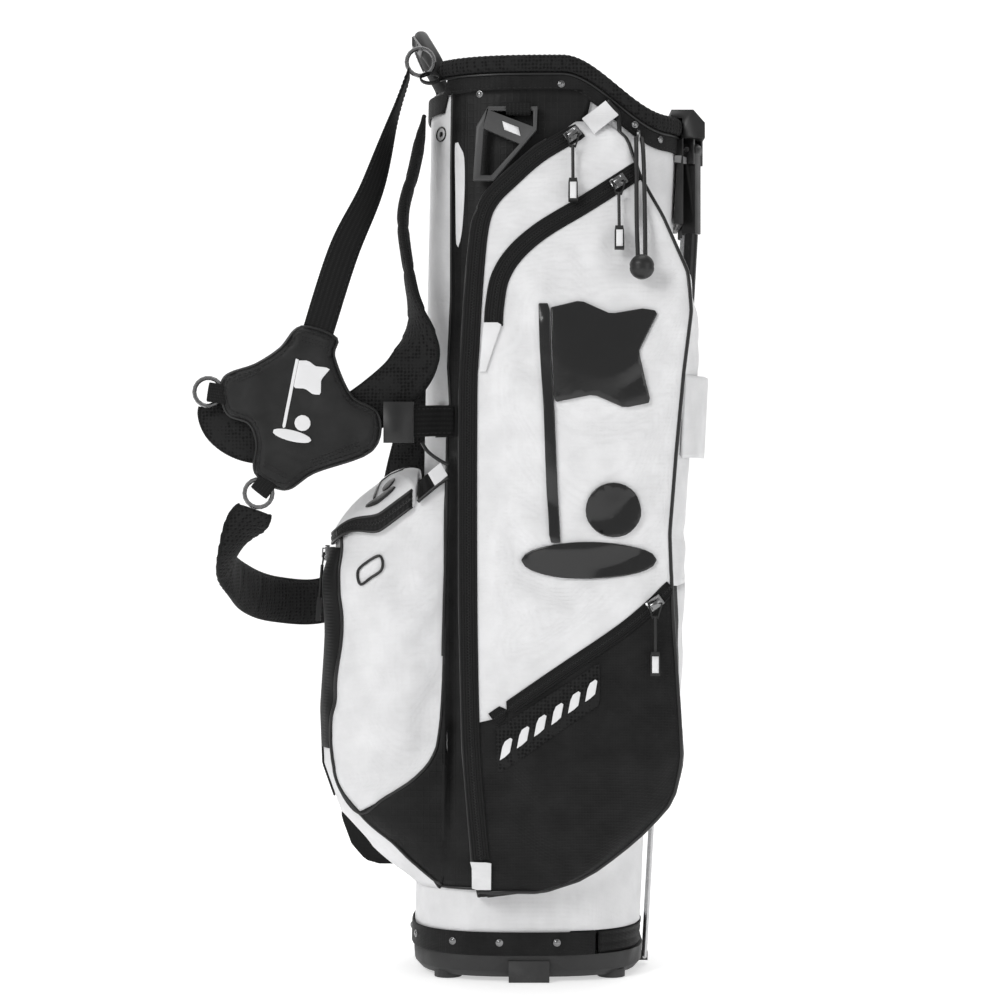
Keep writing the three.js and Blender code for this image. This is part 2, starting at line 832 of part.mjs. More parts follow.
function ballRing(z, inset, height) {
  const levels = BALL.levels;
  const k = clamp(
    levels.findIndex((l) => l.z >= z),
    1,
    levels.length - 1,
  );
  const [low, high] = [levels[k - 1], levels[k]];
  const t = (z - low.z) / (high.z - low.z);
  const a = BALL.centreX - mix(low.left, high.left, t) - inset;
  const b = mix(low.halfY, high.halfY, t) - inset;
  const ring = [];
  for (let i = 0; i < RING_POINTS; i++) {
    const [x, y] = superellipse((2 * Math.PI * (i + 0.5)) / RING_POINTS, a, b, BALL.power);
    ring.push(v3(BALL.centreX + x, y, height ?? z));
  }
  return ring;
}

const seatZ = (x) => BALL.topOutZ + (x - BALL.topOutX) * BALL.slope;

// Everything below the lid's slanting seat, raised by a shift.
function belowSeat(shift, farX = -50) {
  return placedPrism(
    [
      [-260, seatZ(-260) + shift],
      [farX, seatZ(farX) + shift],
      [farX, -50],
      [-260, -50],
    ],
    -200,
    200,
  );
}

function ballBulk(inset, fromZ) {
  const heights = [...BALL.levels.map((l) => l.z).filter((z) => z > fromZ)];
  return solid(loft([ballRing(fromZ, inset), ...heights.map((z) => ballRing(z, inset))]));
}

function ballPocket() {
  const hollow = ballBulk(BALL.wall, BALL.floorZ).subtract(box(-112 + BALL.wall, 0, -200, 200, 0, 600));
  return ballBulk(0, BALL.levels[0].z)
    .subtract(hollow)
    .intersect(belowSeat(0))
    .intersect(box(-300, BALL.rightX - GAP, -200, 200, 0, 600))
    .subtract(panelSeat);
}

function ballLid() {
  const z = BALL.topOutZ;
  const slanted = (inset, up) =>
    ballRing(z, inset).map((p) => v3(p.x, p.y, seatZ(p.x) + up));
  const dome = solid(
    loft([
      slanted(0, GAP),
      slanted(0, LID.thick * 0.6),
      slanted(7, LID.thick),
      slanted(40, LID.thick + LID.crown),
    ]),
  );
  return dome.intersect(box(-300, LID.hingeX, -200, 200, 0, 600)).subtract(wallCore(GAP));
}

// A black sleeve for a bottle, low on the far side of the ball pocket.
function bottleSleeve() {
  const outline = [
    [-67, 300],
    [-120, 300],
    [-180, 200],
    [-187, 131],
    [-165, 86],
    [-150, 82],
    [-67, 82],
  ];
  const bulk = placedPrism(outline, 60, 122);
  return bulk.subtract(ballBulk(-GAP, BALL.levels[0].z)).subtract(panelSeat);
}

// ---------------------------------------------------------------- zips

function onFront([x, z], proud) {
  return v3(x, frontY(z) - proud, z);
}

// The outward normal of the front face at a height.
function frontNormal(z) {
  const slope = (frontY(z + 1) - frontY(z - 1)) / 2;
  return v3(0, -1, slope).normalize();
}

// A zip tape along a line on the front face, with a station at each bend of the face.
function frontTape(line, half) {
  const stations = [];
  line.forEach(([x, z], k) => {
    if (k === 0) return void stations.push([x, z]);
    const [px, pz] = line[k - 1];
    const bends = FRONT.map((f) => (f.z - pz) / (z - pz)).filter((t) => t > 0.02 && t < 0.98);
    for (const t of [...bends, 1]) stations.push([mix(px, x, t), mix(pz, z, t)]);
  });
  const centre = stations.map((p) => onFront(p, ZIP.tapeGap + ZIP.tapeThick / 2));
  const rings = centre.map((at, k) => {
    const tangent = centre[Math.min(k + 1, centre.length - 1)].clone().sub(centre[Math.max(k - 1, 0)]);
    const n = frontNormal(at.z);
    const w = tangent.normalize().cross(n).normalize();
    const h = ZIP.tapeThick / 2;
    return [
      [half, -h],
      [half, h],
      [-half, h],
      [-half, -h],
    ].map(([a, o]) => at.clone().addScaledVector(w, a).addScaledVector(n, o));
  });
  return solid(loft(rings));
}

// A slider: a block with a bail over it, lying along a zip on a surface with this normal.
function slider(at, way, normal) {
  const across = way.clone().cross(normal).normalize();
  const place = (a, b, c) =>
    at.clone().addScaledVector(way, a).addScaledVector(across, b).addScaledVector(normal, c);
  const halfLong = ZIP.sliderLong / 2;
  const block = (la, lb, lc, ha, hb, hc) =>
    solid(
      loft([
        [place(la, lb, lc), place(ha, lb, lc), place(ha, hb, lc), place(la, hb, lc)],
        [place(la, lb, hc), place(ha, lb, hc), place(ha, hb, hc), place(la, hb, hc)],
      ]),
    );
  const body = block(-halfLong, -ZIP.sliderHalf, 0, halfLong, ZIP.sliderHalf, 4);
  const bail = block(-4.8, -1.6, 3.5, 4.8, 1.6, ZIP.sliderHigh);
  const eye = block(-3.6, -5, 3.9, 3.6, 5, ZIP.sliderHigh - 1.2);
  return join(body, bail).subtract(eye);
}

// A pull that hangs from a bail: a loop through the bail, a cord, and a grip.
function pull(hinge, down, out) {
  const side = down.clone().cross(out).normalize();
  const place = (d, s, o) =>
    hinge.clone().addScaledVector(down, d).addScaledVector(side, s).addScaledVector(out, o);
  const bar = rod(place(0, -6.8, 0), place(0, 6.8, 0), 0.42, 6);
  const arms = [-1, 1].map((s) => rod(place(-0.4, s * 6.5, 0), place(14, s * 2.2, 1.2), 0.7, 6));
  const link = rod(place(12.4, -3, 1.2), place(12.4, 3, 1.2), 1.2, 6);
  const cord = rod(place(12, 0, 1.2), place(ZIP.pullLong - 20, 0, 1.6), 1.5, 8);
  const ring = (d, halfSide, halfOut) => [
    place(d, -halfSide, 1.6 - halfOut),
    place(d, halfSide, 1.6 - halfOut),
    place(d, halfSide, 1.6 + halfOut),
    place(d, -halfSide, 1.6 + halfOut),
  ];
  const grip = solid(
    loft([ring(ZIP.pullLong - 22, 3.6, 2), ring(ZIP.pullLong - 18, 4.2, 2.4), ring(ZIP.pullLong, 4.4, 2.4)]),
  );
  return join(bar, ...arms, link, cord, grip);
}

// The three zips on the near face: where the slider stands and the way its zip runs.
const FRONT_ZIPS = {
  main: { at: [40, 786], to: [-17, 746] },
  upper: { at: [82, 741.2], to: [12, 697] },
  lower: { at: [114, 355], to: [-20, 259.4] },
};

function zipSeat(name) {
  const { at, to } = FRONT_ZIPS[name];
  const proud = ZIP.tapeGap + ZIP.tapeThick + GAP;
  const start = onFront(at, proud);
  const end = onFront(to, proud);
  const normal = frontNormal(at[1]);
  return { start, way: end.clone().sub(start).normalize(), normal };
}

function frontSlider(name) {
  const { start, way, normal } = zipSeat(name);
  return slider(start, way, normal);
}

// Where a pull's loop goes through its slider.
function bailOf({ start, normal }) {
  return start.clone().addScaledVector(normal, ZIP.sliderHigh - 2.2);
}

function frontPull(name) {
  const seat = zipSeat(name);
  const down = v3(0, 0, -1);
  down.addScaledVector(seat.normal, -down.dot(seat.normal)).normalize();
  return pull(bailOf(seat), down, seat.normal);
}

// The ball pocket's own zip runs down its strap-side face.
const BALL_ZIP = { y: -14, half: 15, top: 402, bottom: 163, start: 398, run: 150 };

function ballFaceX(z) {
  const ring = ballRing(z, 0);
  return Math.min(...ring.map((p) => p.x));
}

function ballZipTape() {
  const { y, half, top, bottom } = BALL_ZIP;
  const knees = BALL.levels.map((level) => level.z).filter((z) => z > bottom && z < top);
  const rings = [bottom, ...knees, top].map((z) => {
    const near = ballFaceX(z) - ZIP.tapeGap;
    const far = near - ZIP.tapeThick;
    return [v3(near, y - half, z), v3(near, y + half, z), v3(far, y + half, z), v3(far, y - half, z)];
  });
  return solid(loft(rings));
}

function ballZipSeat() {
  const proud = ZIP.tapeGap + ZIP.tapeThick + GAP;
  const at = (z) => v3(ballFaceX(z) - proud, BALL_ZIP.y, z);
  const start = at(BALL_ZIP.start);
  const way = at(BALL_ZIP.start - BALL_ZIP.run).sub(start).normalize();
  return { start, way, normal: v3(-1, 0, 0).addScaledVector(way, way.x).normalize() };
}

// ---------------------------------------------------------------- strap

const HUB_OUTLINE = [
  [-211, 609],
  [-179, 599],
  [-181, 582],
  [-165, 545],
  [-140, 528],
  [-146, 495],
  [-199, 475],
  [-226, 459],
  [-253, 474],
  [-252, 501],
  [-259, 520],
  [-280, 530],
  [-283, 561],
  [-253, 574],
  [-230, 589],
];

function strapHub() {
  return placedPrism(HUB_OUTLINE, HUB.y - HUB.thick / 2, HUB.y + HUB.thick / 2);
}

// A round ring that faces along Y.
function ring({ x, y, z }, tube = RING.tube) {
  const g = new THREE.TorusGeometry(RING.round, tube, 6, 18);
  g.rotateX(Math.PI / 2);
  g.translate(x, y, z);
  return solid(g);
}

const RING_A = { x: -296.9, y: HUB.y, z: 549 };
const RING_B = { x: -250.5, y: HUB.y, z: 455.2 };
const RING_TOP = { x: -102, y: -70, z: 862 };

// A strap cut square, through points that each give a place and the way across.
const strap = (stops, wide, thick, steps) =>
  ribbon(stops.map(([at, across]) => ({ at, across })), wide, thick, steps);

// The near pad hangs from the first ring, passes behind the hub and climbs the corner of the bag.
const PAD_A = [
  [[-291, -102.1, 541], [0.95, 0, 0.31]],
  [[-281, -102.1, 519], [0.72, 0, 0.69]],
  [[-256, -102.1, 506], [0.2, 0, 0.98]],
  [[-215, -102.1, 507], [-0.1, 0, 1]],
  [[-172, -101.8, 521], [-0.38, 0, 0.93]],
  [[-136, -98.5, 545], [-0.62, 0, 0.78]],
  [[-110, -95, 572], [-0.5, 0.6, 0.6]],
  [[-103, -90, 605], [-0.15, 0.95, 0.2]],
  [[-112, -86, 660], [0, 1, 0]],
  [[-118, -82, 715], [0, 1, 0]],
  [[-108, -74, 760], [0, 1, 0]],
  [[-99, -62, 806], [0, 1, 0]],
];

// The far pad leaves the second ring, goes round the ball pocket and comes back up on the far side.
const PAD_B = [
  [[-254.2, -114, 439.7], [0.9, 0, 0.3]],
  [[-276, -92, 405], [0.6, 0.3, 0.75]],
  [[-285, -45, 382], [0, 0.2, 1]],
  [[-274, 15, 362], [0.1, 0.1, 1]],
  [[-250, 70, 350], [0.1, 0, 1]],
  [[-205, 106, 348], [-0.1, 0, 1]],
  [[-160, 112, 374], [-0.6, 0, 0.8]],
  [[-132, 111, 430], [-0.95, 0, 0.3]],
  [[-117, 109, 490], [-1, 0, 0.1]],
  [[-105, 102, 540], [-0.95, -0.3, 0]],
  [[-90, 83, 580], [-0.75, -0.65, 0]],
  [[-84.6, 74.6, 606], [-0.71, -0.71, 0]],
];

const UPPER_WEB = [
  [[-112.9, -70.8, 850.6], [0.1, 0.9, 0.2]],
  [[-125, -80, 812], [0.2, 0.9, 0.2]],
  [[-146, -98, 740], [0.7, 0.7, 0.2]],
  [[-172, -108, 680], [0.95, 0.3, 0.3]],
  [[-195, -114.6, 606.4], [0.96, 0, 0.28]],
];

const LOWER_WEB = [
  [[-71, -86.4, 523], [0, 0, 1]],
  [[-84, -92, 523], [0, 0, 1]],
  [[-104, -106, 522], [0, 0, 1]],
  [[-135, -111, 520], [0, 0, 1]],
];

function buckle() {
  const at = { x: -121, y: -110.5, z: 521 };
  const frame = box(at.x - 14, at.x + 14, at.y - 3.6, at.y + 3.6, at.z - 19, at.z + 19);
  const slot = strap(LOWER_WEB, WEB.wide + 1, WEB.thick + 0.9, 14);
  return frame.subtract(slot);
}

function anchorPlate() {
  return box(-88, -67, -110, -60, 508, 538).intersect(wallCore(2.8)).subtract(panelSeat);
}

// The fold of webbing that ties the top ring to the rim.
function ringLoop() {
  const { x, y, z } = RING_TOP;
  return box(x - 3, x + 24, y - 9, y + 9, z - 21, z - 9.5)
    .subtract(rimPad(GAP))
    .subtract(wallCore(CUFF.thickness + GAP))
    .subtract(ring(RING_TOP, RING.tube + GAP));
}

// ---------------------------------------------------------------- utility handle and elastic cord

const GRIP_OUTLINE = [
  [-38, GRIP.z + GRIP.barHalf],
  [8, GRIP.z + GRIP.barHalf],
  [7, 792],
  [-33, 745],
  [-52, 745],
  [-49, 795],
];
const GRIP_SLOT = [
  [-35, GRIP.z - GRIP.barHalf],
  [3.6, GRIP.z - GRIP.barHalf],
  [3.6, 795],
];
const GRIP_HOLE = [
  [-42, 793],
  [-9, 779],
  [-35, 750],
  [-45, 750],
];

function utilityHandle() {
  const [back, front] = [GRIP.y + GRIP.thick / 2, GRIP.y - GRIP.thick / 2];
  return placedPrism(GRIP_OUTLINE, front, back)
    .subtract(placedPrism(GRIP_SLOT, front - 1, back + 1))
    .subtract(placedPrism(GRIP_HOLE, front - 1, back + 1));
}

function handleLoop() {
  const outer = GRIP.loopInside + GRIP.loopThick;
  const low = v3(-22, GRIP.y, GRIP.z);
  const high = v3(2, GRIP.y, GRIP.z);
  const ring = rod(low, high, outer, 20).subtract(
    rod(v3(-30, GRIP.y, GRIP.z), v3(10, GRIP.y, GRIP.z), GRIP.loopInside, 20),
  );
  const back = GRIP.y + outer - 0.1;
  return join(ring, box(-22, 2, back - GRIP.loopThick, back, GRIP.z, GRIP.z + 13));
}

const EYELET = { x: 102, y: -97.8, z: 789, round: 4.5, tube: 1.6 };

function eyelet() {
  const ring = new THREE.TorusGeometry(EYELET.round, EYELET.tube, 6, 16);
  ring.rotateY(Math.PI / 2);
  ring.translate(EYELET.x, EYELET.y, EYELET.z);
  return solid(ring);
}

// The two strands, from the eyelet over the pocket's edge and down its front to the ball.
const STRANDS = [-1, 1].map((s) => [
  [EYELET.x + s * 2.6, EYELET.y - 7.6, EYELET.z - 4],
  [EYELET.x + s * 3.1, EYELET.y - 22, EYELET.z - 16],
  [EYELET.x + s * 3.5, -129.5, 750],
  [EYELET.x + s * 3.8, -140, 705],
  [EYELET.x + s * 3.4, -151.5, 671.5],
]);

function tubeAlong(points, radius, steps) {
  const path = smoothPath(points);
  const shape = new THREE.Shape(
    Array.from({ length: 8 }, (_, i) => {
      const angle = (i * Math.PI) / 4;
      return new THREE.Vector2(radius * Math.cos(angle), radius * Math.sin(angle));
    }),
  );
  return solid(new THREE.ExtrudeGeometry(shape, { steps, extrudePath: path, bevelEnabled: false }));
}

function elasticCord() {
  const strands = STRANDS.map((points) => tubeAlong(points, ELASTIC.radius, 16));
  const [left, right] = STRANDS.map((points) => v3(...points[0]));
  return join(...strands, rod(left, right, ELASTIC.radius, 8));
}

function elasticBall() {
  const g = new THREE.SphereGeometry(ELASTIC.ball, 16, 10);
  g.translate(EYELET.x, -157.4, 661);
  return solid(g).subtract(join(...STRANDS.map((points) => tubeAlong(points, ELASTIC.radius + GAP, 16))));
}

const parts = [];
function add(name, manifold, slot) {
  parts.push({ name, manifold, slot });
}

// ---------------------------------------------------------------- the assembly

add("base_cup", baseCup(), "base_plastic");
add("base_hinge_pin", baseHingePin(), "steel");
add("base_collar", baseCollar(), "black_plastic");
add("base_band", baseBand(), "black_webbing");
add("base_gusset", baseGusset(), "black_webbing");
add("bag_sleeve", bagSleeve(), "white_fabric");
add("top_collar", topCollar(), "black_plastic");
add("rim_pad", rimPad(), "spacer_mesh");
add("cuff_band", cuffBand(), "black_webbing");
add("lift_handle", liftHandle(), "base_plastic");
add("club_divider", clubDivider(), "black_fabric");
add("stay_near", stay(-Math.PI / 2, 7), "black_plastic");
add("stay_far", stay(Math.PI / 2, 7), "black_plastic");
add("leg_bracket", legBracket(), "black_plastic");
for (const [name, side] of [
  ["near", -1],
  ["far", 1],
]) {
  add(`leg_head_${name}`, legHead(side), "black_plastic");
  add(`leg_pin_${name}`, legPin(side), "steel");
  add(`leg_tube_${name}`, legTube(side), "leg_tube");
  add(`leg_foot_${name}`, legFoot(side), "rubber");
  add(`push_rod_${name}`, pushRod(side), "steel");
}
add("leg_strap", legStrap(), "white_fabric");
add("clothing_pocket", clothingPocket(), "white_fabric");
add("valuables_pocket", valuablesPocket(), "black_fabric");
add("far_pocket", farPocket(), "white_fabric");
add("side_panel", sidePanel(), "ripstop");
add("ball_pocket", ballPocket(), "white_fabric");
add("ball_lid", ballLid(), "white_fabric");
add("bottle_sleeve", bottleSleeve(), "black_fabric");
add("main_zip_tape", frontTape(MAIN_ZIP, MAIN_ZIP_HALF), "zip_tape");
add("upper_zip_tape", frontTape(UPPER_ZIP, UPPER_ZIP_HALF), "zip_tape");
add("lower_zip_tape", frontTape(LOWER_ZIP, LOWER_ZIP_HALF), "zip_tape");
add("ball_zip_tape", ballZipTape(), "zip_tape");
for (const name of Object.keys(FRONT_ZIPS)) {
  add(`${name}_zip_slider`, frontSlider(name), "dark_metal");
  add(`${name}_zip_pull`, frontPull(name), "black_cord");
}
const ballSeat = ballZipSeat();
add("ball_zip_slider", slider(ballSeat.start, ballSeat.way, ballSeat.normal), "dark_metal");
add(
  "ball_zip_pull",
  pull(bailOf(ballSeat), ballSeat.way, ballSeat.normal),
  "black_cord",
);
add("strap_hub", strapHub(), "strap_fabric");
add("hub_ring_a", ring(RING_A), "dark_metal");
add("hub_ring_b", ring(RING_B), "dark_metal");
add("top_ring", ring(RING_TOP), "dark_metal");
add("ring_loop", ringLoop(), "black_webbing");
add("shoulder_pad_a", strap(PAD_A, PAD.wide, PAD.thick, 28), "strap_fabric");
add("shoulder_pad_b", strap(PAD_B, PAD.wide, PAD.thick, 28), "strap_fabric");
add("upper_webbing", strap(UPPER_WEB, WEB.wide, WEB.thick, 14), "black_webbing");
add("lower_webbing", strap(LOWER_WEB, WEB.wide, WEB.thick, 14), "black_webbing");
add("strap_buckle", buckle(), "black_plastic");
add("anchor_plate", anchorPlate(), "black_webbing");
add("utility_handle", utilityHandle(), "base_plastic");
add("handle_loop", handleLoop(), "black_webbing");
add("bungee_eyelet", eyelet(), "dark_metal");
add("bungee_cord", elasticCord(), "black_cord");
add("bungee_ball", elasticBall(), "rubber");

const COLOURS = {
  white_fabric: { color: 0xeceded, roughness: 0.5, metalness: 0 },
  black_fabric: { color: 0x1d1d1f, roughness: 0.6, metalness: 0 },
  ripstop: { color: 0x232325, roughness: 0.75, metalness: 0 },
  spacer_mesh: { color: 0x19191a, roughness: 0.85, metalness: 0 },
  black_webbing: { color: 0x1a1a1c, roughness: 0.75, metalness: 0 },
  strap_fabric: { color: 0x2a2a2c, roughness: 0.55, metalness: 0 },
  zip_tape: { color: 0x161617, roughness: 0.7, metalness: 0 },
  base_plastic: { color: 0x353538, roughness: 0.55, metalness: 0 },
  black_plastic: { color: 0x17171a, roughness: 0.4, metalness: 0 },
  rubber: { color: 0x1c1c1c, roughness: 0.9, metalness: 0 },
  leg_tube: { color: 0x202124, roughness: 0.3, metalness: 0.2 },
  steel: { color: 0x8e9094, roughness: 0.3, metalness: 1 },
  dark_metal: { color: 0x4a4b4f, roughness: 0.25, metalness: 1 },
  black_cord: { color: 0x202022, roughness: 0.7, metalness: 0 },
};

const bag = new THREE.Group();
for (const { name, manifold, slot } of parts) {
  const mesh = new THREE.Mesh(geometryOf(manifold), new THREE.MeshStandardMaterial(COLOURS[slot]));
  mesh.name = name;
  bag.add(mesh);
}

export default bag;
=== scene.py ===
"""A carry stand bag for golf clubs: the looks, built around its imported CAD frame.

Points are in millimetres in the row frame (+X the legs, -Y the near side, Z up) until a mesh is made.
"""

import json
import math
from contextlib import contextmanager

import bmesh
import bpy
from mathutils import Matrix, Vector, noise
from mathutils.bvhtree import BVHTree


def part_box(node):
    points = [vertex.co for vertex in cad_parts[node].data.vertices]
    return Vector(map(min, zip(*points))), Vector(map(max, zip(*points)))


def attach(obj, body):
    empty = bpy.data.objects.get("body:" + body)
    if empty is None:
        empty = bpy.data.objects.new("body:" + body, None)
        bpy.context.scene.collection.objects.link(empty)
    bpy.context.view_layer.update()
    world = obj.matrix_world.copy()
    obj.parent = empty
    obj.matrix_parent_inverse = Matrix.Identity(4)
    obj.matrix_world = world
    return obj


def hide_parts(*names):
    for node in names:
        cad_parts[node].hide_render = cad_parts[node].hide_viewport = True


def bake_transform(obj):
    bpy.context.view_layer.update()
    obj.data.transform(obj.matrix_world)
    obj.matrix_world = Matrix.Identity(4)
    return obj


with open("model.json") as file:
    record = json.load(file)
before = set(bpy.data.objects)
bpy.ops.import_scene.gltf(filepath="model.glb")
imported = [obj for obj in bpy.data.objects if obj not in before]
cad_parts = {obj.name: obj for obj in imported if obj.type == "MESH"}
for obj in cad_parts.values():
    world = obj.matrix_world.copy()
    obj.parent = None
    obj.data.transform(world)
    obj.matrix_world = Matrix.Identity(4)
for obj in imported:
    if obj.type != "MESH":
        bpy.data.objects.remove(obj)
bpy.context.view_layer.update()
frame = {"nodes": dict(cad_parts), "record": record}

MM = 0.001

# ------------------------------------------------------------------ camera, light and floor

CAMERA = {"at": (-27, -2500, 449), "lens": 92.78}


def make_camera():
    data = bpy.data.cameras.new("camera")
    data.lens, data.sensor_width, data.clip_end = CAMERA["lens"], 36, 30
    data.dof.use_dof = False
    cam = bpy.data.objects.new("camera", data)
    cam.location = Vector(CAMERA["at"]) * MM
    cam.rotation_euler = (math.radians(90), 0, 0)
    bpy.context.scene.collection.objects.link(cam)
    bpy.context.scene.camera = cam


def soft_box(name, at, aim, size, power):
    data = bpy.data.lights.new(name, "AREA")
    data.shape, data.size, data.energy = "DISK", size, power
    light = bpy.data.objects.new(name, data)
    light.location = at
    light.rotation_euler = (Vector(aim) - Vector(at)).to_track_quat("-Z", "Y").to_euler()
    bpy.context.scene.collection.objects.link(light)


def make_light():
    middle = (0, 0, 0.45)
    soft_box("key", (-1.7, -2.1, 1.9), middle, 1.3, 36)
    soft_box("fill", (2.0, -1.7, 1.0), middle, 1.6, 9)
    soft_box("back", (0.8, 2.6, 1.9), middle, 1.8, 13)
    soft_box("over", (0, 0.3, 2.8), middle, 1.6, 14)
    world = bpy.data.worlds.new("studio")
    world.use_nodes = True
    world.node_tree.nodes["Background"].inputs["Color"].default_value = (1, 1, 1, 1)
    world.node_tree.nodes["Background"].inputs["Strength"].default_value = 0.42
    bpy.context.scene.world = world
    bpy.context.scene.view_settings.view_transform = "Standard"


# ------------------------------------------------------------------ numbers and lines


def mix(a, b, t):
    return a + (b - a) * t


def clamp(v, low=0.0, high=1.0):
    return max(low, min(high, v))


def smooth(t):
    t = clamp(t)
    return t * t * (3 - 2 * t)


def plan(line):
    """Points (x, z) of the near view as points in space."""
    return [(x, 0, z) for x, z in line]


def on_line(line, v, key=1, value=0):
    """The value coordinate of a polyline where its key coordinate is v."""
    rows = sorted(line, key=lambda p: p[key])
    if v <= rows[0][key]:
        return rows[0][value]
    for low, high in zip(rows, rows[1:]):
        if v <= high[key]:
            t = (v - low[key]) / max(high[key] - low[key], 1e-6)
            return mix(low[value], high[value], t)
    return rows[-1][value]


def catmull(points, per=8, closed=False):
    """A smooth line through points, with per steps between each two."""
    pts = [Vector(p) for p in points]
    n = len(pts)
    out = []
    for i in range(n if closed else n - 1):
        p0, p1, p2, p3 = (pts[(i + k) % n if closed else clamp(i + k, 0, n - 1)] for k in (-1, 0, 1, 2))
        for step in range(per):
            t = step / per
            cubic = 2 * p1 + (p2 - p0) * t + (2 * p0 - 5 * p1 + 4 * p2 - p3) * t**2
            out.append(0.5 * (cubic + (3 * p1 - p0 - 3 * p2 + p3) * t**3))
    if not closed:
        out.append(pts[-1])
    return out


def even(points, step, closed=False):
    """The same line in equal steps of about step."""
    pts = [Vector(p) for p in points]
    if closed:
        pts.append(pts[0])
    run = [0.0]
    for a, b in zip(pts, pts[1:]):
        run.append(run[-1] + (b - a).length)
    count = max(2, round(run[-1] / step))
    out, k = [], 0
    for i in range(count if closed else count + 1):
        d = run[-1] * i / count
        while k < len(run) - 2 and run[k + 1] < d:
            k += 1
        t = (d - run[k]) / max(run[k + 1] - run[k], 1e-9)
        out.append(pts[k].lerp(pts[k + 1], t))
    return out


# ------------------------------------------------------------------ meshes


def obj_of(name, verts, faces, body, mat, slot=None, smooth_shade=True, uvs=None):
    """A mesh object from points in mm, riding on a CAD body."""
    name = own_name(name)
    mesh = bpy.data.meshes.new(name)
    mesh.from_pydata([Vector(v) * MM for v in verts], [], faces)
    mesh.validate()
    mesh.polygons.foreach_set("use_smooth", [smooth_shade] * len(mesh.polygons))
    if uvs:
        layer = mesh.uv_layers.new(name="UVMap")
        for loop in mesh.loops:
            layer.data[loop.index].uv = uvs[loop.vertex_index]
    obj = bpy.data.objects.new(name, mesh)
    bpy.context.scene.collection.objects.link(obj)
    mesh.materials.append(mat)
    if body:
        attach(obj, body)
    slot or mat["slot"]
    return obj


def own_name(name):
    """A piece that stands for a CAD node gets a name of its own."""
    return name + "_soft" if name in frame["nodes"] else name


def grid_faces(rows, cols, round_cols=False, round_rows=False):
    faces = []
    for i in range(rows if round_rows else rows - 1):
        for j in range(cols if round_cols else cols - 1):
            a, b = i * cols + j, i * cols + (j + 1) % cols
            c, d = ((i + 1) % rows) * cols + (j + 1) % cols, ((i + 1) % rows) * cols + j
            faces.append((a, b, c, d))
    return faces


def loft(name, rings, body, mat, caps=True, **more):
    """Closed rings of points joined in order."""
    rows, cols = len(rings), len(rings[0])
    faces = grid_faces(rows, cols, round_cols=True)
    if caps:
        faces += [tuple(range(cols))[::-1], tuple(range((rows - 1) * cols, rows * cols))]
    return outward(obj_of(name, [p for r in rings for p in r], faces, body, mat, **more))


@contextmanager
def editing(mesh):
    """The mesh as a bmesh, written back at the end."""
    bm = bmesh.new()
    bm.from_mesh(mesh)
    yield bm
    bm.to_mesh(mesh)
    bm.free()


def outward(obj):
    with editing(obj.data) as bm:
        bmesh.ops.recalc_face_normals(bm, faces=bm.faces)
    return obj


def apply(obj):
    """Bakes an object's modifiers into its mesh."""
    deps = bpy.context.evaluated_depsgraph_get()
    mesh = bpy.data.meshes.new_from_object(obj.evaluated_get(deps))
    obj.modifiers.clear()
    obj.data = mesh
    return obj


def thicken(obj, thick, offset=1.0, bevel=0.0, inner=None):
    """Gives a surface its thickness, along its normals, and rounds its edges."""
    solid = obj.modifiers.new("thick", "SOLIDIFY")
    solid.thickness, solid.offset = thick * MM, offset
    solid.use_even_offset = False
    if inner is not None:
        obj.data.materials.append(inner)
        solid.material_offset = 1
    if bevel:
        edge = obj.modifiers.new("edge", "BEVEL")
        edge.width, edge.segments, edge.limit_method = bevel * MM, 2, "ANGLE"
        edge.angle_limit = math.radians(50)
    return apply(obj)


def frames_along(points, across=None):
    """A tangent and a side direction at each point of a line, turning as little as it can."""
    pts = [Vector(p) for p in points]
    ways = []
    for i in range(len(pts)):
        a, b = pts[max(i - 1, 0)], pts[min(i + 1, len(pts) - 1)]
        ways.append((b - a).normalized())
    sides = []
    side = Vector(across[0]) if across else ways[0].orthogonal()
    for i, way in enumerate(ways):
        side = Vector(across[i]) if across else side
        side = (side - way * side.dot(way)).normalized()
        sides.append(side)
    return pts, ways, sides


def sweep(name, points, section, body, mat, across=None, closed=False, swell=None, **more):
    """A section, given as (side, normal) pairs, carried along a line."""
    pts, ways, sides = frames_along(points, across)
    verts, uvs, run = [], [], 0.0
    for i, (p, way, side) in enumerate(zip(pts, ways, sides)):
        up = way.cross(side)
        run += (p - pts[i - 1]).length if i else 0.0
        grow = swell(i / max(len(pts) - 1, 1)) if swell else (1, 1)
        for k, (u, v) in enumerate(section):
            verts.append(p + side * u * grow[0] + up * v * grow[1])
            uvs.append((k / len(section), run * MM))
    faces = grid_faces(len(pts), len(section), round_cols=True, round_rows=closed)
    if not closed:
        n = len(section)
        faces += [tuple(range(n))[::-1], tuple(range((len(pts) - 1) * n, len(pts) * n))]
    return outward(obj_of(name, verts, faces, body, mat, uvs=uvs, **more))


def disc(radius, sides=8):
    turn = 2 * math.pi / sides
    return [(radius * math.cos(k * turn), radius * math.sin(k * turn)) for k in range(sides)]


def slab(width, thick, per=6, power=4):
    """A flat rounded section, a strap's or a pad's."""
    out = []
    for k in range(4 * per):
        a = 2 * math.pi * (k + 0.5) / (4 * per)
        c, s = math.cos(a), math.sin(a)
        r = (abs(c) ** power + abs(s) ** power) ** (-1 / power)
        out.append((width / 2 * r * c, thick / 2 * r * s))
    return out


def join(name, objs):
    """Several objects of one material made into one."""
    bm = bmesh.new()
    for o in objs:
        bm.from_mesh(o.data)
    mesh = bpy.data.meshes.new(name)
    bm.to_mesh(mesh)
    bm.free()
    first = objs[0]
    for m in first.data.materials:
        mesh.materials.append(m)
    first.data = mesh
    first.name = own_name(name)
    for o in objs[1:]:
        bpy.data.objects.remove(o)
    return first


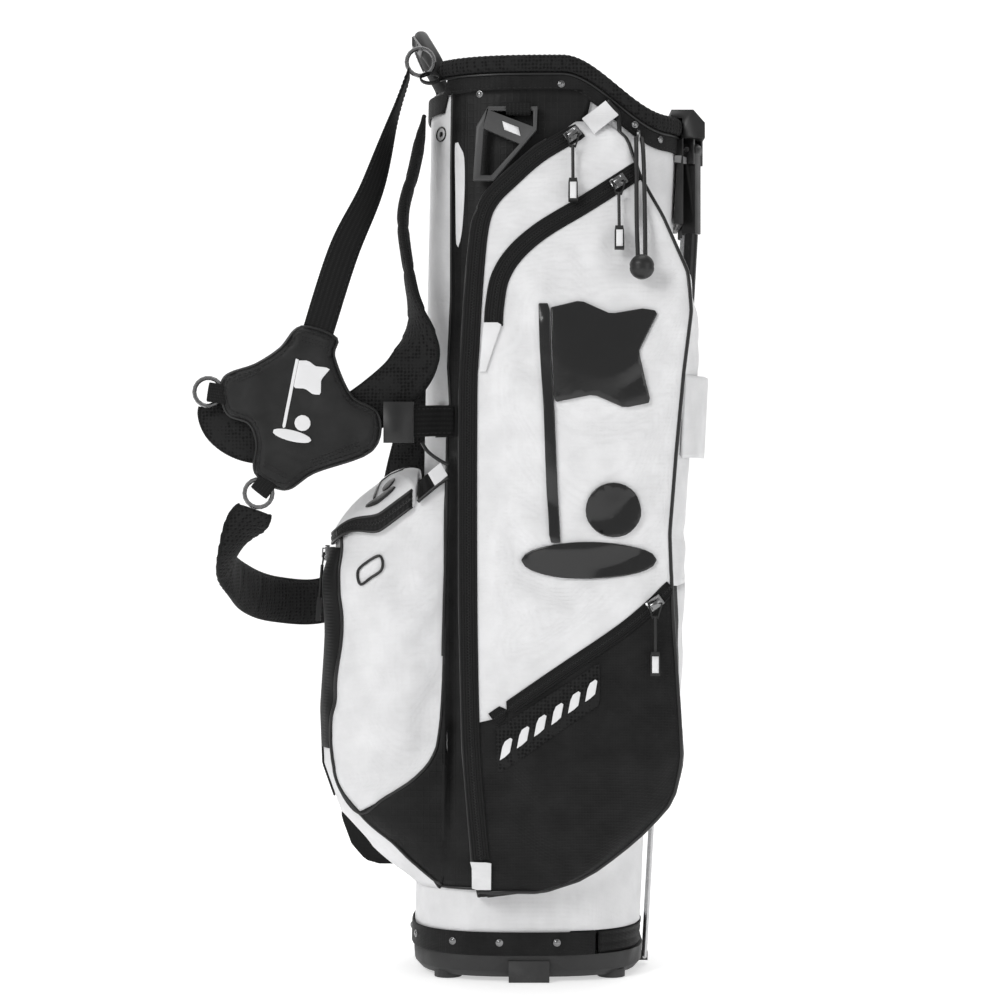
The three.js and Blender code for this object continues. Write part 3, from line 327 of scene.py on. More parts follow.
class Surface:
    """A finished piece as something that others are laid on."""

    def __init__(self, *objs):
        verts, faces = [], []
        for o in objs:
            start = len(verts)
            verts += [v.co / MM for v in o.data.vertices]
            faces += [[start + i for i in p.vertices] for p in o.data.polygons]
        self.tree = BVHTree.FromPolygons(verts, faces)

    def cast(self, start, way, off=0.0):
        hit, normal, _, _ = self.tree.ray_cast(Vector(start), Vector(way).normalized())
        if hit is None:
            return None
        if normal.dot(Vector(way)) > 0:
            normal = -normal
        return hit + normal * off

    def near(self, x, z, off=0.0):
        """The point at (x, z) on the side that faces -Y."""
        return self.cast((x, -400, z), (0, 1, 0), off)

    def close(self, point, off=0.0):
        hit, normal, _, _ = self.tree.find_nearest(Vector(point))
        return hit + normal * off


# ------------------------------------------------------------------ materials


# The record's slot that each extra finish belongs to.
SLOT_OF = {
    "gloss_piping": "black_fabric",
    "grip_grey": "base_plastic",
    "gloss_print": "black_plastic",
    "white_print": "white_fabric",
    "lining": "black_fabric",
    "thread": "black_fabric",
    "label_grey": "base_plastic",
}


def shader(name, color, rough, **sockets):
    mat = bpy.data.materials.new(name)
    mat.use_nodes = True
    mat["slot"] = SLOT_OF.get(name, name)
    bsdf = mat.node_tree.nodes["Principled BSDF"]
    bsdf.inputs["Base Color"].default_value = (*color, 1)
    bsdf.inputs["Roughness"].default_value = rough
    for key, value in sockets.items():
        bsdf.inputs[key.replace("_", " ")].default_value = value
    return mat


def node(mat, kind, inputs=None, **props):
    made = mat.node_tree.nodes.new("ShaderNode" + kind)
    for key, value in props.items():
        setattr(made, key, value)
    for key, value in (inputs or {}).items():
        if isinstance(value, bpy.types.NodeSocket):
            mat.node_tree.links.new(value, made.inputs[key])
        else:
            made.inputs[key].default_value = value
    return made


def math_node(mat, operation, a, b=0.0):
    return node(mat, "Math", {0: a, 1: b}, operation=operation).outputs[0]


def place(mat):
    return node(mat, "TexCoord").outputs["Object"]


def wave(mat, direction, period):
    """Bands across one axis, a period of that many mm."""
    return node(
        mat,
        "TexWave",
        {"Vector": place(mat), "Scale": 0.314 / (period * MM)},
        bands_direction=direction,
    ).outputs["Fac"]


def cloud(mat, size, detail=3.0):
    """Soft noise with features of about size mm."""
    found = {"Vector": place(mat), "Scale": 1 / (size * MM), "Detail": detail}
    return node(mat, "TexNoise", found).outputs["Fac"]


def bump(mat, layers):
    """Stacks heights: each layer is (height socket, depth in mm, strength)."""
    normal = None
    for height, depth, strength in layers:
        found = {"Height": height, "Distance": depth * MM, "Strength": strength}
        if normal:
            found["Normal"] = normal
        normal = node(mat, "Bump", found).outputs["Normal"]
    bsdf = mat.node_tree.nodes["Principled BSDF"]
    mat.node_tree.links.new(normal, bsdf.inputs["Normal"])


def tint(mat, fac, low, high):
    """Base colour from low to high by a factor."""
    mixer = node(mat, "Mix", data_type="RGBA")
    mat.node_tree.links.new(fac, mixer.inputs[0])
    mixer.inputs[6].default_value = (*low, 1)
    mixer.inputs[7].default_value = (*high, 1)
    bsdf = mat.node_tree.nodes["Principled BSDF"]
    mat.node_tree.links.new(mixer.outputs[2], bsdf.inputs["Base Color"])


def gloss(mat, fac, low, high):
    """Roughness from low to high by a factor."""
    found = {"Value": fac, "To Min": low, "To Max": high}
    ranged = node(mat, "MapRange", found).outputs[0]
    bsdf = mat.node_tree.nodes["Principled BSDF"]
    mat.node_tree.links.new(ranged, bsdf.inputs["Roughness"])


def spread(mat, fac, low, high):
    """Stretches the middle of a noise to the whole of 0 to 1."""
    return node(mat, "MapRange", {"Value": fac, "From Min": low, "From Max": high}).outputs[0]


def grey(v):
    return (v, v, v * 1.01)


def woven(name, low, high, rough, period=1.1, depth=0.25, sheen=0.02, shine=0.35):
    """Plain-woven nylon with small creases, and a mottle in its colour that is partly its own uneven tone and
    partly painted shade of broad creases.
    """
    mat = shader(name, high, rough, Sheen_Weight=sheen, Sheen_Roughness=0.45, Specular_IOR_Level=shine)
    across = math_node(mat, "ADD", wave(mat, "X", period), wave(mat, "Y", period))
    cloth = math_node(mat, "MULTIPLY", across, wave(mat, "Z", period))
    # painted shade: soft blotches about 26 mm across, from low to high, stand in for the shade of broad creases
    # as well as the cloth's uneven tone
    tint(mat, spread(mat, cloud(mat, 26, 5), 0.35, 0.65), low, high)
    gloss(mat, cloud(mat, 14), rough - 0.08, rough + 0.1)
    bump(mat, [(cloud(mat, 30, 4), 1.0, 0.5), (cloth, depth, 0.6)])
    return mat


def ripstop(name, low, high, rough):
    """Thin nylon with a heavier thread every 6 mm both ways."""
    mat = shader(name, high, rough, Sheen_Weight=0.02, Sheen_Roughness=0.4, Specular_IOR_Level=0.22)
    lines = [math_node(mat, "POWER", wave(mat, d, 6), 14.0) for d in "XYZ"]
    threads = math_node(mat, "MAXIMUM", math_node(mat, "MAXIMUM", lines[0], lines[1]), lines[2])
    tint(mat, spread(mat, cloud(mat, 30, 4), 0.35, 0.65), low, high)
    gloss(mat, cloud(mat, 20), rough - 0.1, rough + 0.1)
    bump(mat, [(cloud(mat, 22, 4), 1.4, 0.5), (threads, 0.25, 0.5)])
    return mat


def spacer(name, low, high, size=3.4):
    """Knitted spacer mesh: rows of small round holes."""
    mat = shader(name, high, 0.85, Sheen_Weight=0.02, Sheen_Roughness=0.5, Specular_IOR_Level=0.2)
    found = {"Vector": place(mat), "Scale": 1 / (size * MM), "Randomness": 0.25}
    cells = node(mat, "TexVoronoi", found).outputs["Distance"]
    holes = spread(mat, cells, 0.18, 0.5)
    tint(mat, holes, low, high)
    bump(mat, [(holes, 0.9, 0.8), (cloud(mat, 1.2, 2), 0.2, 0.4)])
    return mat


def webbing(name, low, high, rough=0.7):
    """Woven tape: fine ribs along its own length."""
    mat = shader(name, high, rough, Sheen_Weight=0.02, Sheen_Roughness=0.5, Specular_IOR_Level=0.22)
    uv = node(mat, "UVMap").outputs[0]
    ribs = node(mat, "TexWave", {"Vector": uv, "Scale": 0.314 / 0.0016}, bands_direction="Y")
    cords = node(mat, "TexWave", {"Vector": uv, "Scale": 7.0}, bands_direction="X")
    weave = math_node(mat, "MULTIPLY", ribs.outputs["Fac"], cords.outputs["Fac"])
    tint(mat, spread(mat, weave, 0.1, 0.9), low, high)
    bump(mat, [(weave, 0.35, 0.7)])
    return mat


def moulded(name, low, high, rough, grain=0.8, depth=0.12):
    """Moulded plastic or rubber: a fine spark-eroded grain, paler where edges are worn."""
    mat = shader(name, high, rough)
    edges = node(mat, "NewGeometry").outputs["Pointiness"]
    wear = math_node(mat, "MULTIPLY", spread(mat, edges, 0.5, 0.58), cloud(mat, 9, 4))
    tint(mat, wear, low, high)
    gloss(mat, cloud(mat, 18, 4), rough - 0.1, rough + 0.12)
    bump(mat, [(cloud(mat, grain, 3), depth, 0.6)])
    return mat


def metal(name, low, high, rough):
    """Plated or plain metal with faint scratches."""
    mat = shader(name, high, rough, Metallic=1.0)
    found = {"Vector": place(mat), "Scale": 400.0, "Detail": 6.0, "Distortion": 2.0}
    scratches = node(mat, "TexNoise", found).outputs["Fac"]
    tint(mat, cloud(mat, 8, 4), low, high)
    gloss(mat, scratches, rough * 0.6, rough * 1.5)
    bump(mat, [(scratches, 0.03, 0.5)])
    return mat


# For the woven() cloths, low to high is the range of a mottle that is partly painted crease shade.
M = {
    "white_fabric": woven("white_fabric", grey(0.7), grey(0.77), 0.55, period=1.2, sheen=0.1),
    "black_fabric": woven("black_fabric", grey(0.003), grey(0.008), 0.6, period=1.4, depth=0.4, shine=0.22),
    "ripstop": ripstop("ripstop", grey(0.003), grey(0.008), 0.5),
    "spacer_mesh": spacer("spacer_mesh", grey(0.002), grey(0.014)),
    "black_webbing": webbing("black_webbing", grey(0.002), grey(0.012)),
    "strap_fabric": woven("strap_fabric", grey(0.004), grey(0.01), 0.38, period=0.9, depth=0.2, shine=0.28),
    "zip_tape": webbing("zip_tape", grey(0.003), grey(0.011), 0.6),
    "black_cord": moulded("black_cord", grey(0.005), grey(0.014), 0.55, grain=1.1, depth=0.3),
    "base_plastic": moulded("base_plastic", grey(0.014), grey(0.034), 0.55, grain=1.4, depth=0.3),
    "black_plastic": moulded("black_plastic", grey(0.005), grey(0.016), 0.42),
    "rubber": moulded("rubber", grey(0.01), grey(0.022), 0.7, grain=0.9, depth=0.2),
    "leg_tube": metal("leg_tube", grey(0.03), grey(0.05), 0.32),
    "steel": metal("steel", grey(0.45), grey(0.6), 0.28),
    "dark_metal": metal("dark_metal", grey(0.16), grey(0.3), 0.24),
}
PIPING = moulded("gloss_piping", grey(0.004), grey(0.009), 0.36, grain=2.0, depth=0.05)
EMBLEM = moulded("gloss_print", grey(0.01), grey(0.018), 0.16, grain=3.0, depth=0.04)
EMBLEM_WHITE = moulded("white_print", grey(0.7), grey(0.8), 0.4, grain=3.0, depth=0.04)
LINING = woven("lining", grey(0.02), grey(0.035), 0.7)
THREAD = webbing("thread", grey(0.02), grey(0.05))
GRIP = moulded("grip_grey", grey(0.05), grey(0.085), 0.5, grain=1.4, depth=0.2)
LABEL = moulded("label_grey", grey(0.2), grey(0.26), 0.5)
FLOOR = shader("studio_floor", (0.8, 0.8, 0.8), 0.9, Emission_Color=(1, 1, 1, 1), Emission_Strength=0.5)


def finish_nodes():
    """Each CAD node that stays gets its slot's material, and the utility handle a paler grey."""
    slots = {row["node"]: row["material_slot"] for row in frame["record"]["subparts"]}
    for name, obj in frame["nodes"].items():
        for s in obj.material_slots:
            s.material = GRIP if name == "utility_handle" else M[slots[name]]


def rounded(width, *names):
    """Moulded and pressed parts, with the small edge radii that their CAD solids leave out."""
    bodies = frame["record"]["behaviour"]["bodies"]
    for name in names:
        cad = frame["nodes"][name]
        body = next(b for b, nodes in bodies.items() if name in nodes)
        bm = bmesh.new()
        bm.from_mesh(cad.data)
        bmesh.ops.remove_doubles(bm, verts=bm.verts, dist=0.02 * MM)
        bmesh.ops.dissolve_limit(bm, angle_limit=math.radians(1), verts=bm.verts, edges=bm.edges)
        mesh = bpy.data.meshes.new(name + "_rounded")
        bm.to_mesh(mesh)
        bm.free()
        obj = bpy.data.objects.new(name + "_rounded", mesh)
        bpy.context.scene.collection.objects.link(obj)
        edge = obj.modifiers.new("edge", "BEVEL")
        edge.width, edge.segments, edge.limit_method = width * MM, 2, "ANGLE"
        edge.angle_limit = math.radians(32)
        edge.harden_normals = True
        apply(obj)
        obj.data.materials.clear()
        mat = cad.material_slots[0].material
        obj.data.materials.append(mat)
        for face in obj.data.polygons:
            face.material_index = 0
            face.use_smooth = True
        obj.data.set_sharp_from_angle(angle=math.radians(40))
        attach(obj, body)
        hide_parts(name)


# ------------------------------------------------------------------ soft forms


def relax(obj, pins, pressure, cap, shrink=0.0, frames=16, gravity=0.0):
    """Lets cloth settle between its pins (0 to 1 by vertex). None of it moves more than cap mm."""
    before = [v.co.copy() for v in obj.data.vertices]
    group = obj.vertex_groups.new(name="pins")
    for i, weight in enumerate(pins):
        group.add([i], weight, "REPLACE")
    cloth = obj.modifiers.new("cloth", "CLOTH")
    s = cloth.settings
    s.quality, s.mass, s.air_damping = 6, 0.25, 2.0
    s.tension_stiffness = s.compression_stiffness = 14
    s.shear_stiffness, s.bending_stiffness = 6, 3.0
    s.vertex_group_mass = "pins"
    s.use_pressure, s.uniform_pressure_force = True, pressure
    s.shrink_min = shrink
    s.effector_weights.gravity = gravity
    cloth.point_cache.frame_start, cloth.point_cache.frame_end = 1, frames
    scene = bpy.context.scene
    for f in range(1, frames + 1):
        scene.frame_set(f)
    deps = bpy.context.evaluated_depsgraph_get()
    after = [v.co.copy() for v in obj.evaluated_get(deps).data.vertices]
    obj.modifiers.clear()
    obj.vertex_groups.clear()
    for v, a, b in zip(obj.data.vertices, before, after):
        move = b - a
        if move.length > cap * MM:
            move *= cap * MM / move.length
        v.co = a + move
    ease(obj, pins)
    scene.frame_set(1)
    return obj


def ease(obj, pins, rounds=3):
    """Takes out creases finer than the mesh can show, away from the pins."""
    with editing(obj.data) as bm:
        bm.verts.ensure_lookup_table()
        free = [bm.verts[i] for i, held in enumerate(pins) if held < 0.98]
        for _ in range(rounds):
            bmesh.ops.smooth_vert(bm, verts=free, factor=0.5, use_axis_x=True, use_axis_y=True, use_axis_z=True)


def crease(points, size, depth, seed=0.0):
    """Moves points by soft noise, as cloth with some slack in it."""
    out = []
    for p in points:
        p = Vector(p)
        q = Vector((p.x / size, p.y / size + seed, p.z / size))
        out.append(p + Vector(noise.noise_vector(q)) * depth)
    return out


def stitches(name, line, body, mat, long=3.2, gap=1.6, radius=0.42):
    """A sewn line: one small thread for each stitch."""
    pts = even(line, 0.8)
    verts, faces = [], []
    step = max(1, round((long + gap) / 0.8))
    size = max(2, round(long / 0.8))
    for i in range(0, len(pts) - size, step):
        a, b = pts[i], pts[i + size]
        way = (b - a).normalized()
        side = way.orthogonal().normalized()
        up = way.cross(side)
        start = len(verts)
        for p, r in ((a, 0.4), (a.lerp(b, 0.25), 1), (a.lerp(b, 0.75), 1), (b, 0.4)):
            for k in range(5):
                t = 2 * math.pi * k / 5
                verts.append(p + (side * math.cos(t) + up * math.sin(t)) * radius * r)
        for ring in range(3):
            for k in range(5):
                m, n = start + ring * 5 + k, start + ring * 5 + (k + 1) % 5
                faces.append((m, n, n + 5, m + 5))
        faces += [tuple(range(start, start + 5))[::-1], tuple(range(start + 15, start + 20))]
    return obj_of(name, verts, faces, body, mat)


def fill(outline, longest):
    """A triangulated polygon in a plane, with no edge longer than longest mm: points and faces."""
    bm = bmesh.new()
    vs = [bm.verts.new(p) for p in outline]
    edges = [bm.edges.new((vs[i], vs[(i + 1) % len(vs)])) for i in range(len(vs))]
    bmesh.ops.triangle_fill(bm, edges=edges, use_beauty=True)
    for _ in range(8):
        long = [e for e in bm.edges if e.calc_length() > longest]
        if not long:
            break
        bmesh.ops.subdivide_edges(bm, edges=long, cuts=1)
        bmesh.ops.triangulate(bm, faces=bm.faces)
        bmesh.ops.beautify_fill(bm, faces=bm.faces, edges=bm.edges)
    bm.verts.index_update()
    verts = [v.co.copy() for v in bm.verts]
    faces = [[v.index for v in f.verts] for f in bm.faces]
    bm.free()
    return verts, faces


def decal(name, outline, surface, body, mat, thick=1.2, lift=0.3, longest=9, bevel=0.35):
    """A shape in (X, Z), laid on the near side of a surface and raised from it."""
    line = even(plan(outline), longest * 0.7, closed=True)
    verts, faces = fill(line, longest)
    laid = []
    for v in verts:
        hit = surface.near(v.x, v.z, lift)
        laid.append(hit or Vector((v.x, surface.close((v.x, -150, v.z)).y, v.z)))
    obj = obj_of(name, laid, faces, body, mat)
    face_towards(obj, (0, -1, 0))
    return thicken(obj, thick, bevel=bevel)


def face_towards(obj, way):
    """Turns an open sheet's normals to one side."""
    with editing(obj.data) as bm:
        bmesh.ops.recalc_face_normals(bm, faces=bm.faces)
        total = sum((f.normal * f.calc_area() for f in bm.faces), Vector())
        if total.dot(Vector(way)) < 0:
            bmesh.ops.reverse_faces(bm, faces=bm.faces)


def patch(name, rows, body, mat, thick=1.0, bevel=0.0, slot=None, inner=None, out=(0, -1, 0)):
    """A sheet through rows of points, given its thickness."""
    cols = len(rows[0])
    verts = [p for r in rows for p in r]
    uvs = [(j / (cols - 1) * 0.1, i / (len(rows) - 1) * 0.1) for i in range(len(rows)) for j in range(cols)]
    obj = obj_of(name, verts, grid_faces(len(rows), cols), body, mat, slot=slot, uvs=uvs)
    face_towards(obj, out)
    return thicken(obj, thick, bevel=bevel, inner=inner)


def band(name, line, profile, surface, thick, ray):
    """A zip tape along a line: profile is (side, height) across it, and ray finds the surface."""
    pts, ways, _ = frames_along(line)
    rows, uvs, run = [], [], 0.0
    for i, (p, way) in enumerate(zip(pts, ways)):
        out = surface_out(surface, p)
        side = way.cross(out).normalized()
        rows.append([(ray(p + side * u) or p + side * u) + out * h for u, h in profile])
        run += (p - pts[i - 1]).length if i else 0
        uvs += [(j / (len(profile) - 1), run * MM) for j in range(len(profile))]
    faces = grid_faces(len(rows), len(profile))
    obj = obj_of(name, [p for r in rows for p in r], faces, "bag", M["zip_tape"], uvs=uvs)
    face_towards(obj, surface_out(surface, pts[len(pts) // 2]))
    return thicken(obj, thick)


def surface_out(surface, p):
    """The way out of a surface near a point."""
    _, normal, _, _ = surface.tree.find_nearest(p)
    return normal.normalized()


def teeth(name, line, outs, body, mat, pitch=2.0, wide=5.2, high=1.5, slot="zip_tape"):
    """A row of interlocked zip teeth along a line, outs giving the way out at each point."""
    verts, faces = [], []
    pts, ways, _ = frames_along(line)
    run = [0.0]
    for a, b in zip(pts, pts[1:]):
        run.append(run[-1] + (b - a).length)
    k, d, n = 0, pitch / 2, 0
    while d < run[-1]:
        while run[k + 1] < d:
            k += 1
        t = (d - run[k]) / max(run[k + 1] - run[k], 1e-9)
        at, way = pts[k].lerp(pts[k + 1], t), ways[k]
        out = outs[k]
        side = way.cross(out).normalized()
        lean = 0.5 if n % 2 else -0.5
        start = len(verts)
        for h, grow in ((0, 1.0), (high * 0.7, 0.95), (high, 0.7)):
            for a, b in ((-1, -1), (1, -1), (1, 1), (-1, 1)):
                verts.append(
                    at + out * h + side * (a * wide / 2 * grow + lean) + way * (b * pitch * 0.34 * grow)
                )
        for ring in range(2):
            for c in range(4):
                m, q = start + ring * 4 + c, start + ring * 4 + (c + 1) % 4
                faces.append((m, q, q + 4, m + 4))
        faces.append(tuple(range(start + 8, start + 12)))
        faces.append(tuple(range(start, start + 4))[::-1])
        d += pitch
        n += 1
    return outward(obj_of(name, verts, faces, body, mat, slot=slot, smooth_shade=False))


def rivet(at, out, radius):
    """A domed rivet head on its washer."""
    at, out = Vector(at), Vector(out).normalized()
    side = out.orthogonal().normalized()
    up = out.cross(side)
    circle = [side * math.cos(t) + up * math.sin(t) for t in (2 * math.pi * k / 16 for k in range(16))]
    heights = ((1.0, -0.6), (1.0, 0.5), (0.86, 0.7), (0.8, 0.6), (0.7, 1.3), (0.4, 1.8), (0.08, 1.95))
    rings = [[at + way * radius * r + out * h for way in circle] for r, h in heights]
    return loft("rivet", rings, "bag", M["dark_metal"])


# ------------------------------------------------------------------ the sleeve's own form

SLEEVE = {"base_a": 109, "top_a": 120, "b": 100, "lean": 26, "power": 2.8, "low": 60, "high": 820}
RIM = {"high": 864, "low": 812, "fall_from": 30, "fall_to": 130, "pad": 17, "in": 9, "out": 6}
RIM_END = 151.4  # degrees from +X to where the pad stops at the lift handle
READ_AT = 840  # the height whose x tells a place round the rim


def wall_middle(z):
    return SLEEVE["lean"] * (z - SLEEVE["low"]) / (SLEEVE["high"] - SLEEVE["low"])


def wall_half(z):
    t = (z - SLEEVE["low"]) / (SLEEVE["high"] - SLEEVE["low"])
    return mix(SLEEVE["base_a"], SLEEVE["top_a"], t)


def wall_at(turn, z, out=0.0):
    """The point on the sleeve's outside at a plan angle, and out from it."""
    a, b, p = wall_half(z), SLEEVE["b"], SLEEVE["power"]
    c, s = math.cos(turn), math.sin(turn)
    r = (abs(c / a) ** p + abs(s / b) ** p) ** (-1 / p)
    nx = abs(c / a) ** (p - 1) / a * math.copysign(1, c)
    ny = abs(s / b) ** (p - 1) / b * math.copysign(1, s)
    n = Vector((nx, ny, 0))
    n.normalize()
    return Vector((wall_middle(z) + r * c, r * s, z)) + n * out


def wall_out(turn, z):
    return (wall_at(turn, z, 10) - wall_at(turn, z)).normalized()


def wall_y(x, z, out=0.0):
    """How far the sleeve's side stands from the middle plane at x."""
    a, b, p = wall_half(z) + out, SLEEVE["b"] + out, SLEEVE["power"]
    u = min(abs(x - wall_middle(z)) / a, 0.999)
    return b * (1 - u**p) ** (1 / p)


def rim_z(x):
    return mix(RIM["high"], RIM["low"], smooth((x - RIM["fall_from"]) / (RIM["fall_to"] - RIM["fall_from"])))


def shell(name, low, high, out, thick, mat, count=144, rows=2, waves=None, inner=None):
    """A wall round the sleeve between two heights, each a function of x."""
    ts = [math.radians(mix(-180, 180, k / count)) for k in range(count)]
    grid = []
    for i in range(rows):
        t = i / (rows - 1)
        row = []
        for a in ts:
            x = wall_at(a, READ_AT).x
            z = mix(low(x), high(x), t)
            row.append(wall_at(a, z, out + (waves(a, z) if waves else 0)))
        grid.append(row)
    faces = grid_faces(rows, count, round_cols=True)
    uvs = [(i / (rows - 1), j * 0.005) for i in range(rows) for j in range(count)]
    obj = obj_of(name, [p for r in grid for p in r], faces, "bag", mat, uvs=uvs)
    with editing(obj.data) as bm:
        bmesh.ops.recalc_face_normals(bm, faces=bm.faces)
        if sum(f.normal.dot(f.calc_center_median().normalized()) for f in bm.faces) < 0:
            bmesh.ops.reverse_faces(bm, faces=bm.faces)
    return thicken(obj, thick, offset=1.0, inner=inner, bevel=0.3 if thick > 1.5 else 0)


COLLAR_DIP = -78
GUSSET_FROM = 64


def sleeve_top(x):
    return 816 if x < COLLAR_DIP else rim_z(x) - 32


def sleeve_foot(x):
    return 47.2 if x > GUSSET_FROM else 44.5


def sleeve_waves(turn, z):
    """Small creases where the cloth is gathered at its two ends."""
    foot, top = math.exp(-(z - 40) / 40), math.exp(-(826 - z) / 60)
    at = wall_at(turn, z)
    n = noise.noise(Vector((at.x / 13, at.y / 13, z / 22)))
    broad = noise.noise(Vector((at.x / 60, at.y / 60, z / 90)))
    return clamp((foot + 0.35 * top) * n * 0.9 + broad * 0.8 - 0.5, -1.0, 0.9)


def make_sleeve():
    sleeve = shell(
        "bag_sleeve", sleeve_foot, sleeve_top, -1.6, 1.6, M["white_fabric"],
        count=180, rows=90, waves=sleeve_waves, inner=LINING,
    )
    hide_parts("bag_sleeve")
    cuff = shell(
        "cuff_band", lambda x: sleeve_top(x) - 2, lambda x: 832 if x < COLLAR_DIP else rim_z(x) - 17.6,
        0.4, 1.9, M["black_fabric"], rows=4, inner=M["black_fabric"],
    )
    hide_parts("cuff_band")
    return sleeve


def rim_section():
    """The rim pad's section: a soft D on top of the wall."""
    made = []
    mid, half = (RIM["out"] - RIM["in"]) / 2, (RIM["out"] + RIM["in"]) / 2
    for k in range(20):
        a = 2 * math.pi * k / 20
        c, s = math.cos(a), math.sin(a)
        r = (abs(c) ** 3 + abs(s) ** 3) ** (-1 / 3)
        made.append((mid + half * r * c, -RIM["pad"] / 2 + RIM["pad"] / 2 * r * s))
    return made


def make_rim():
    rings, section = [], rim_section()
    mid = (RIM["out"] - RIM["in"]) / 2
    count = 460  # four to each rib of the knitted mesh
    for i in range(count + 1):
        deg = mix(-RIM_END, RIM_END, i / count)
        t = math.radians(deg)
        end = min(i, count - i)
        grow = min(1.0, (0.35 + end * 0.22) ** 0.5)
        rib = 1 - 0.055 * (1 + math.cos(2 * math.pi * i / 4)) / 2
        base = wall_at(t, READ_AT)
        z = rim_z(base.x)
        ring = []
        for out, up in section:
            o = mid + (out - mid) * grow * rib
            u = -RIM["pad"] / 2 + (up + RIM["pad"] / 2) * grow * rib
            ring.append(wall_at(t, z, o) + Vector((0, 0, u)))
        rings.append(ring)
    pad = loft("rim_pad", rings, "bag", M["spacer_mesh"])
    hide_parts("rim_pad")
    sweep("rim_piping", below_rim(18.4, 2.6), disc(1.3), "bag", PIPING)
    stitches("cuff_stitches", below_rim(31.2, 2.5), "bag", THREAD, long=3, gap=1.4)


def below_rim(drop, out):
    """A line round the cuff, this far under the rim's top."""
    turned = [math.radians(mix(-RIM_END + 1, RIM_END - 1, i / 180)) for i in range(181)]
    return [wall_at(t, rim_z(wall_at(t, READ_AT).x) - drop, out) for t in turned]


def make_lift_handle():
    """A moulded grip with a softer paler insert along its outside."""
    steps, rings, insert = 48, [], []
    end = math.radians(RIM_END)
    for k in range(steps + 1):
        t = k / steps
        turn = mix(end + 0.035, 2 * math.pi - end - 0.035, t)
        rise = math.sin(math.pi * clamp(t, 0.0005, 0.9995)) ** 0.7
        out, low = mix(-1, 9, rise), mix(RIM["high"] - RIM["pad"], RIM["high"] + 20, rise)
        tall = mix(RIM["pad"], 19, rise)
        ring = []
        for u, v in slab(14, 1, per=5, power=2.6):
            p = wall_at(turn, 850, out + 1 + u)
            ring.append(Vector((p.x, p.y, low + tall / 2 + v * tall)))
        rings.append(ring)
        p = wall_at(turn, 850, out + 8.4)
        insert.append(Vector((p.x, p.y, low + tall / 2)))
    grip = loft("lift_handle", rings, "bag", M["base_plastic"])
    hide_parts("lift_handle")
    middle = insert[6:-6]
    across = [Vector((0, 0, 1))] * len(middle)
    sweep("lift_handle_insert", middle, slab(10, 1.6, per=3), "bag", LABEL, across=across)
    ribs = []
    for i in range(3, len(middle) - 3, 2):
        p = middle[i]
        way = (middle[i + 1] - middle[i - 1]).normalized()
        out = Vector((0, 0, 1)).cross(way)
        if out.x > 0:
            out = -out
        rib = [p + out * 0.9 + Vector((0, 0, h)) for h in (-4, -1.5, 1.5, 4)]
        ribs.append(sweep("rib", rib, disc(0.7, 6), "bag", M["rubber"]))
    join("lift_handle_ribs", ribs)


def divider_line(along_x, short):
    """The upper edge of one divider wall, as (place along it, x, height)."""
    half = (wall_half(770) if along_x else SLEEVE["b"]) - short
    made = []
    for i in range(41):
        u = mix(-half, half, i / 40)
        x = wall_middle(770) + (u if along_x else 0)
        top = min(RIM["high"] - 6, rim_z(x) - 5) - RIM["pad"] - 3 * math.cos(math.pi * u / half / 2)
        made.append((u, x, top))
    return made


def make_divider():
    """Padded cloth walls across the mouth, rolled over at the top."""
    walls, rolls, middle, low = [], [], wall_middle(770), 700
    for along_x in (True, False):
        rings = []
        for u, x, top in divider_line(along_x, 4.5):
            ring = []
            for s, h in slab(4.6, 2, per=4, power=3):
                z = mix(low, top, (h + 1) / 2) if abs(h) < 1 else (top if h > 0 else low)
                ring.append(Vector((x, s, z)) if along_x else Vector((middle + s, u, z)))
            rings.append(ring)
        walls.append(loft("divider", rings, "bag", M["black_fabric"]))
    wall = join("club_divider", walls)
    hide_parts("club_divider")
    for along_x in (True, False):
        line = [Vector((x, 0 if along_x else u, top)) for u, x, top in divider_line(along_x, 6)]
        rolls.append(sweep("roll", line, disc(3.4, 12), "bag", M["spacer_mesh"]))
    join("divider_roll", rolls)


# ------------------------------------------------------------------ clothing pockets

FRONT = [(830, 106), (640, 147), (220, 151), (60, 112)]  # height, how far the face stands out
POCKET_FOOT, POCKET_HEAD, POCKET_BACK = 80, 801, 62
MAIN_ZIP = [(47, 791), (10, 769), (-17, 745), (-36, 725), (-45, 702), (-50, 655), (-54, 590),
            (-56, 540), (-56, 358), (-53, 221), (-45, 118)]
UPPER_ZIP = [(100, 753), (91, 747), (51, 721), (12, 697), (-13, 675), (-27, 652), (-32, 625), (-33, 608)]
LOWER_ZIP = [(-34, 249), (24, 289), (83, 329), (114, 355), (128, 370)]
LOWER_LINE = [(-90, 236), *LOWER_ZIP, (200, 384)]
RIGHT_EDGE = [(-36, 80), (0, 79), (33, 87), (66, 108), (102, 137), (134, 172), (141, 211), (139, 253),
              (132, 354), (130, 419), (136, 493), (143, 567), (150, 622), (147, 658), (125, 710),
              (104, 748), (93, 784), (72, 802)]
MAIN_EDGE = 9
# How far the pocket's leg-side gusset stands past its piping, by height.
FLARE = [(0, 80), (0, 250), (8, 300), (14, 340), (17, 400), (17, 540), (13, 600), (6, 640), (0, 700), (0, 830)]
SECTION = (
    [("left", k / 5) for k in range(5)]
    + [("left_corner", k / 4) for k in range(4)]
    + [("front", k / 46) for k in range(47)]
    + [("right_corner", (k + 1) / 5) for k in range(5)]
    + [("right", (k + 1) / 7) for k in range(7)]
    + [("back", (k + 1) / 13) for k in range(12)]
)
LEFT_CORNER = SECTION.index(("left_corner", 0.5))
RIGHT_CORNER = SECTION.index(("right_corner", 0.6))


def zip_edge():
    """The main zip's outer edge."""
    pts, ways, _ = frames_along(plan(MAIN_ZIP))
    moved = [p + Vector((0, 1, 0)).cross(w) * MAIN_EDGE for p, w in zip(pts, ways)]
    return [(p.x, p.z) for p in moved]


LEFT_EDGE = zip_edge() + [(-48, 80)]


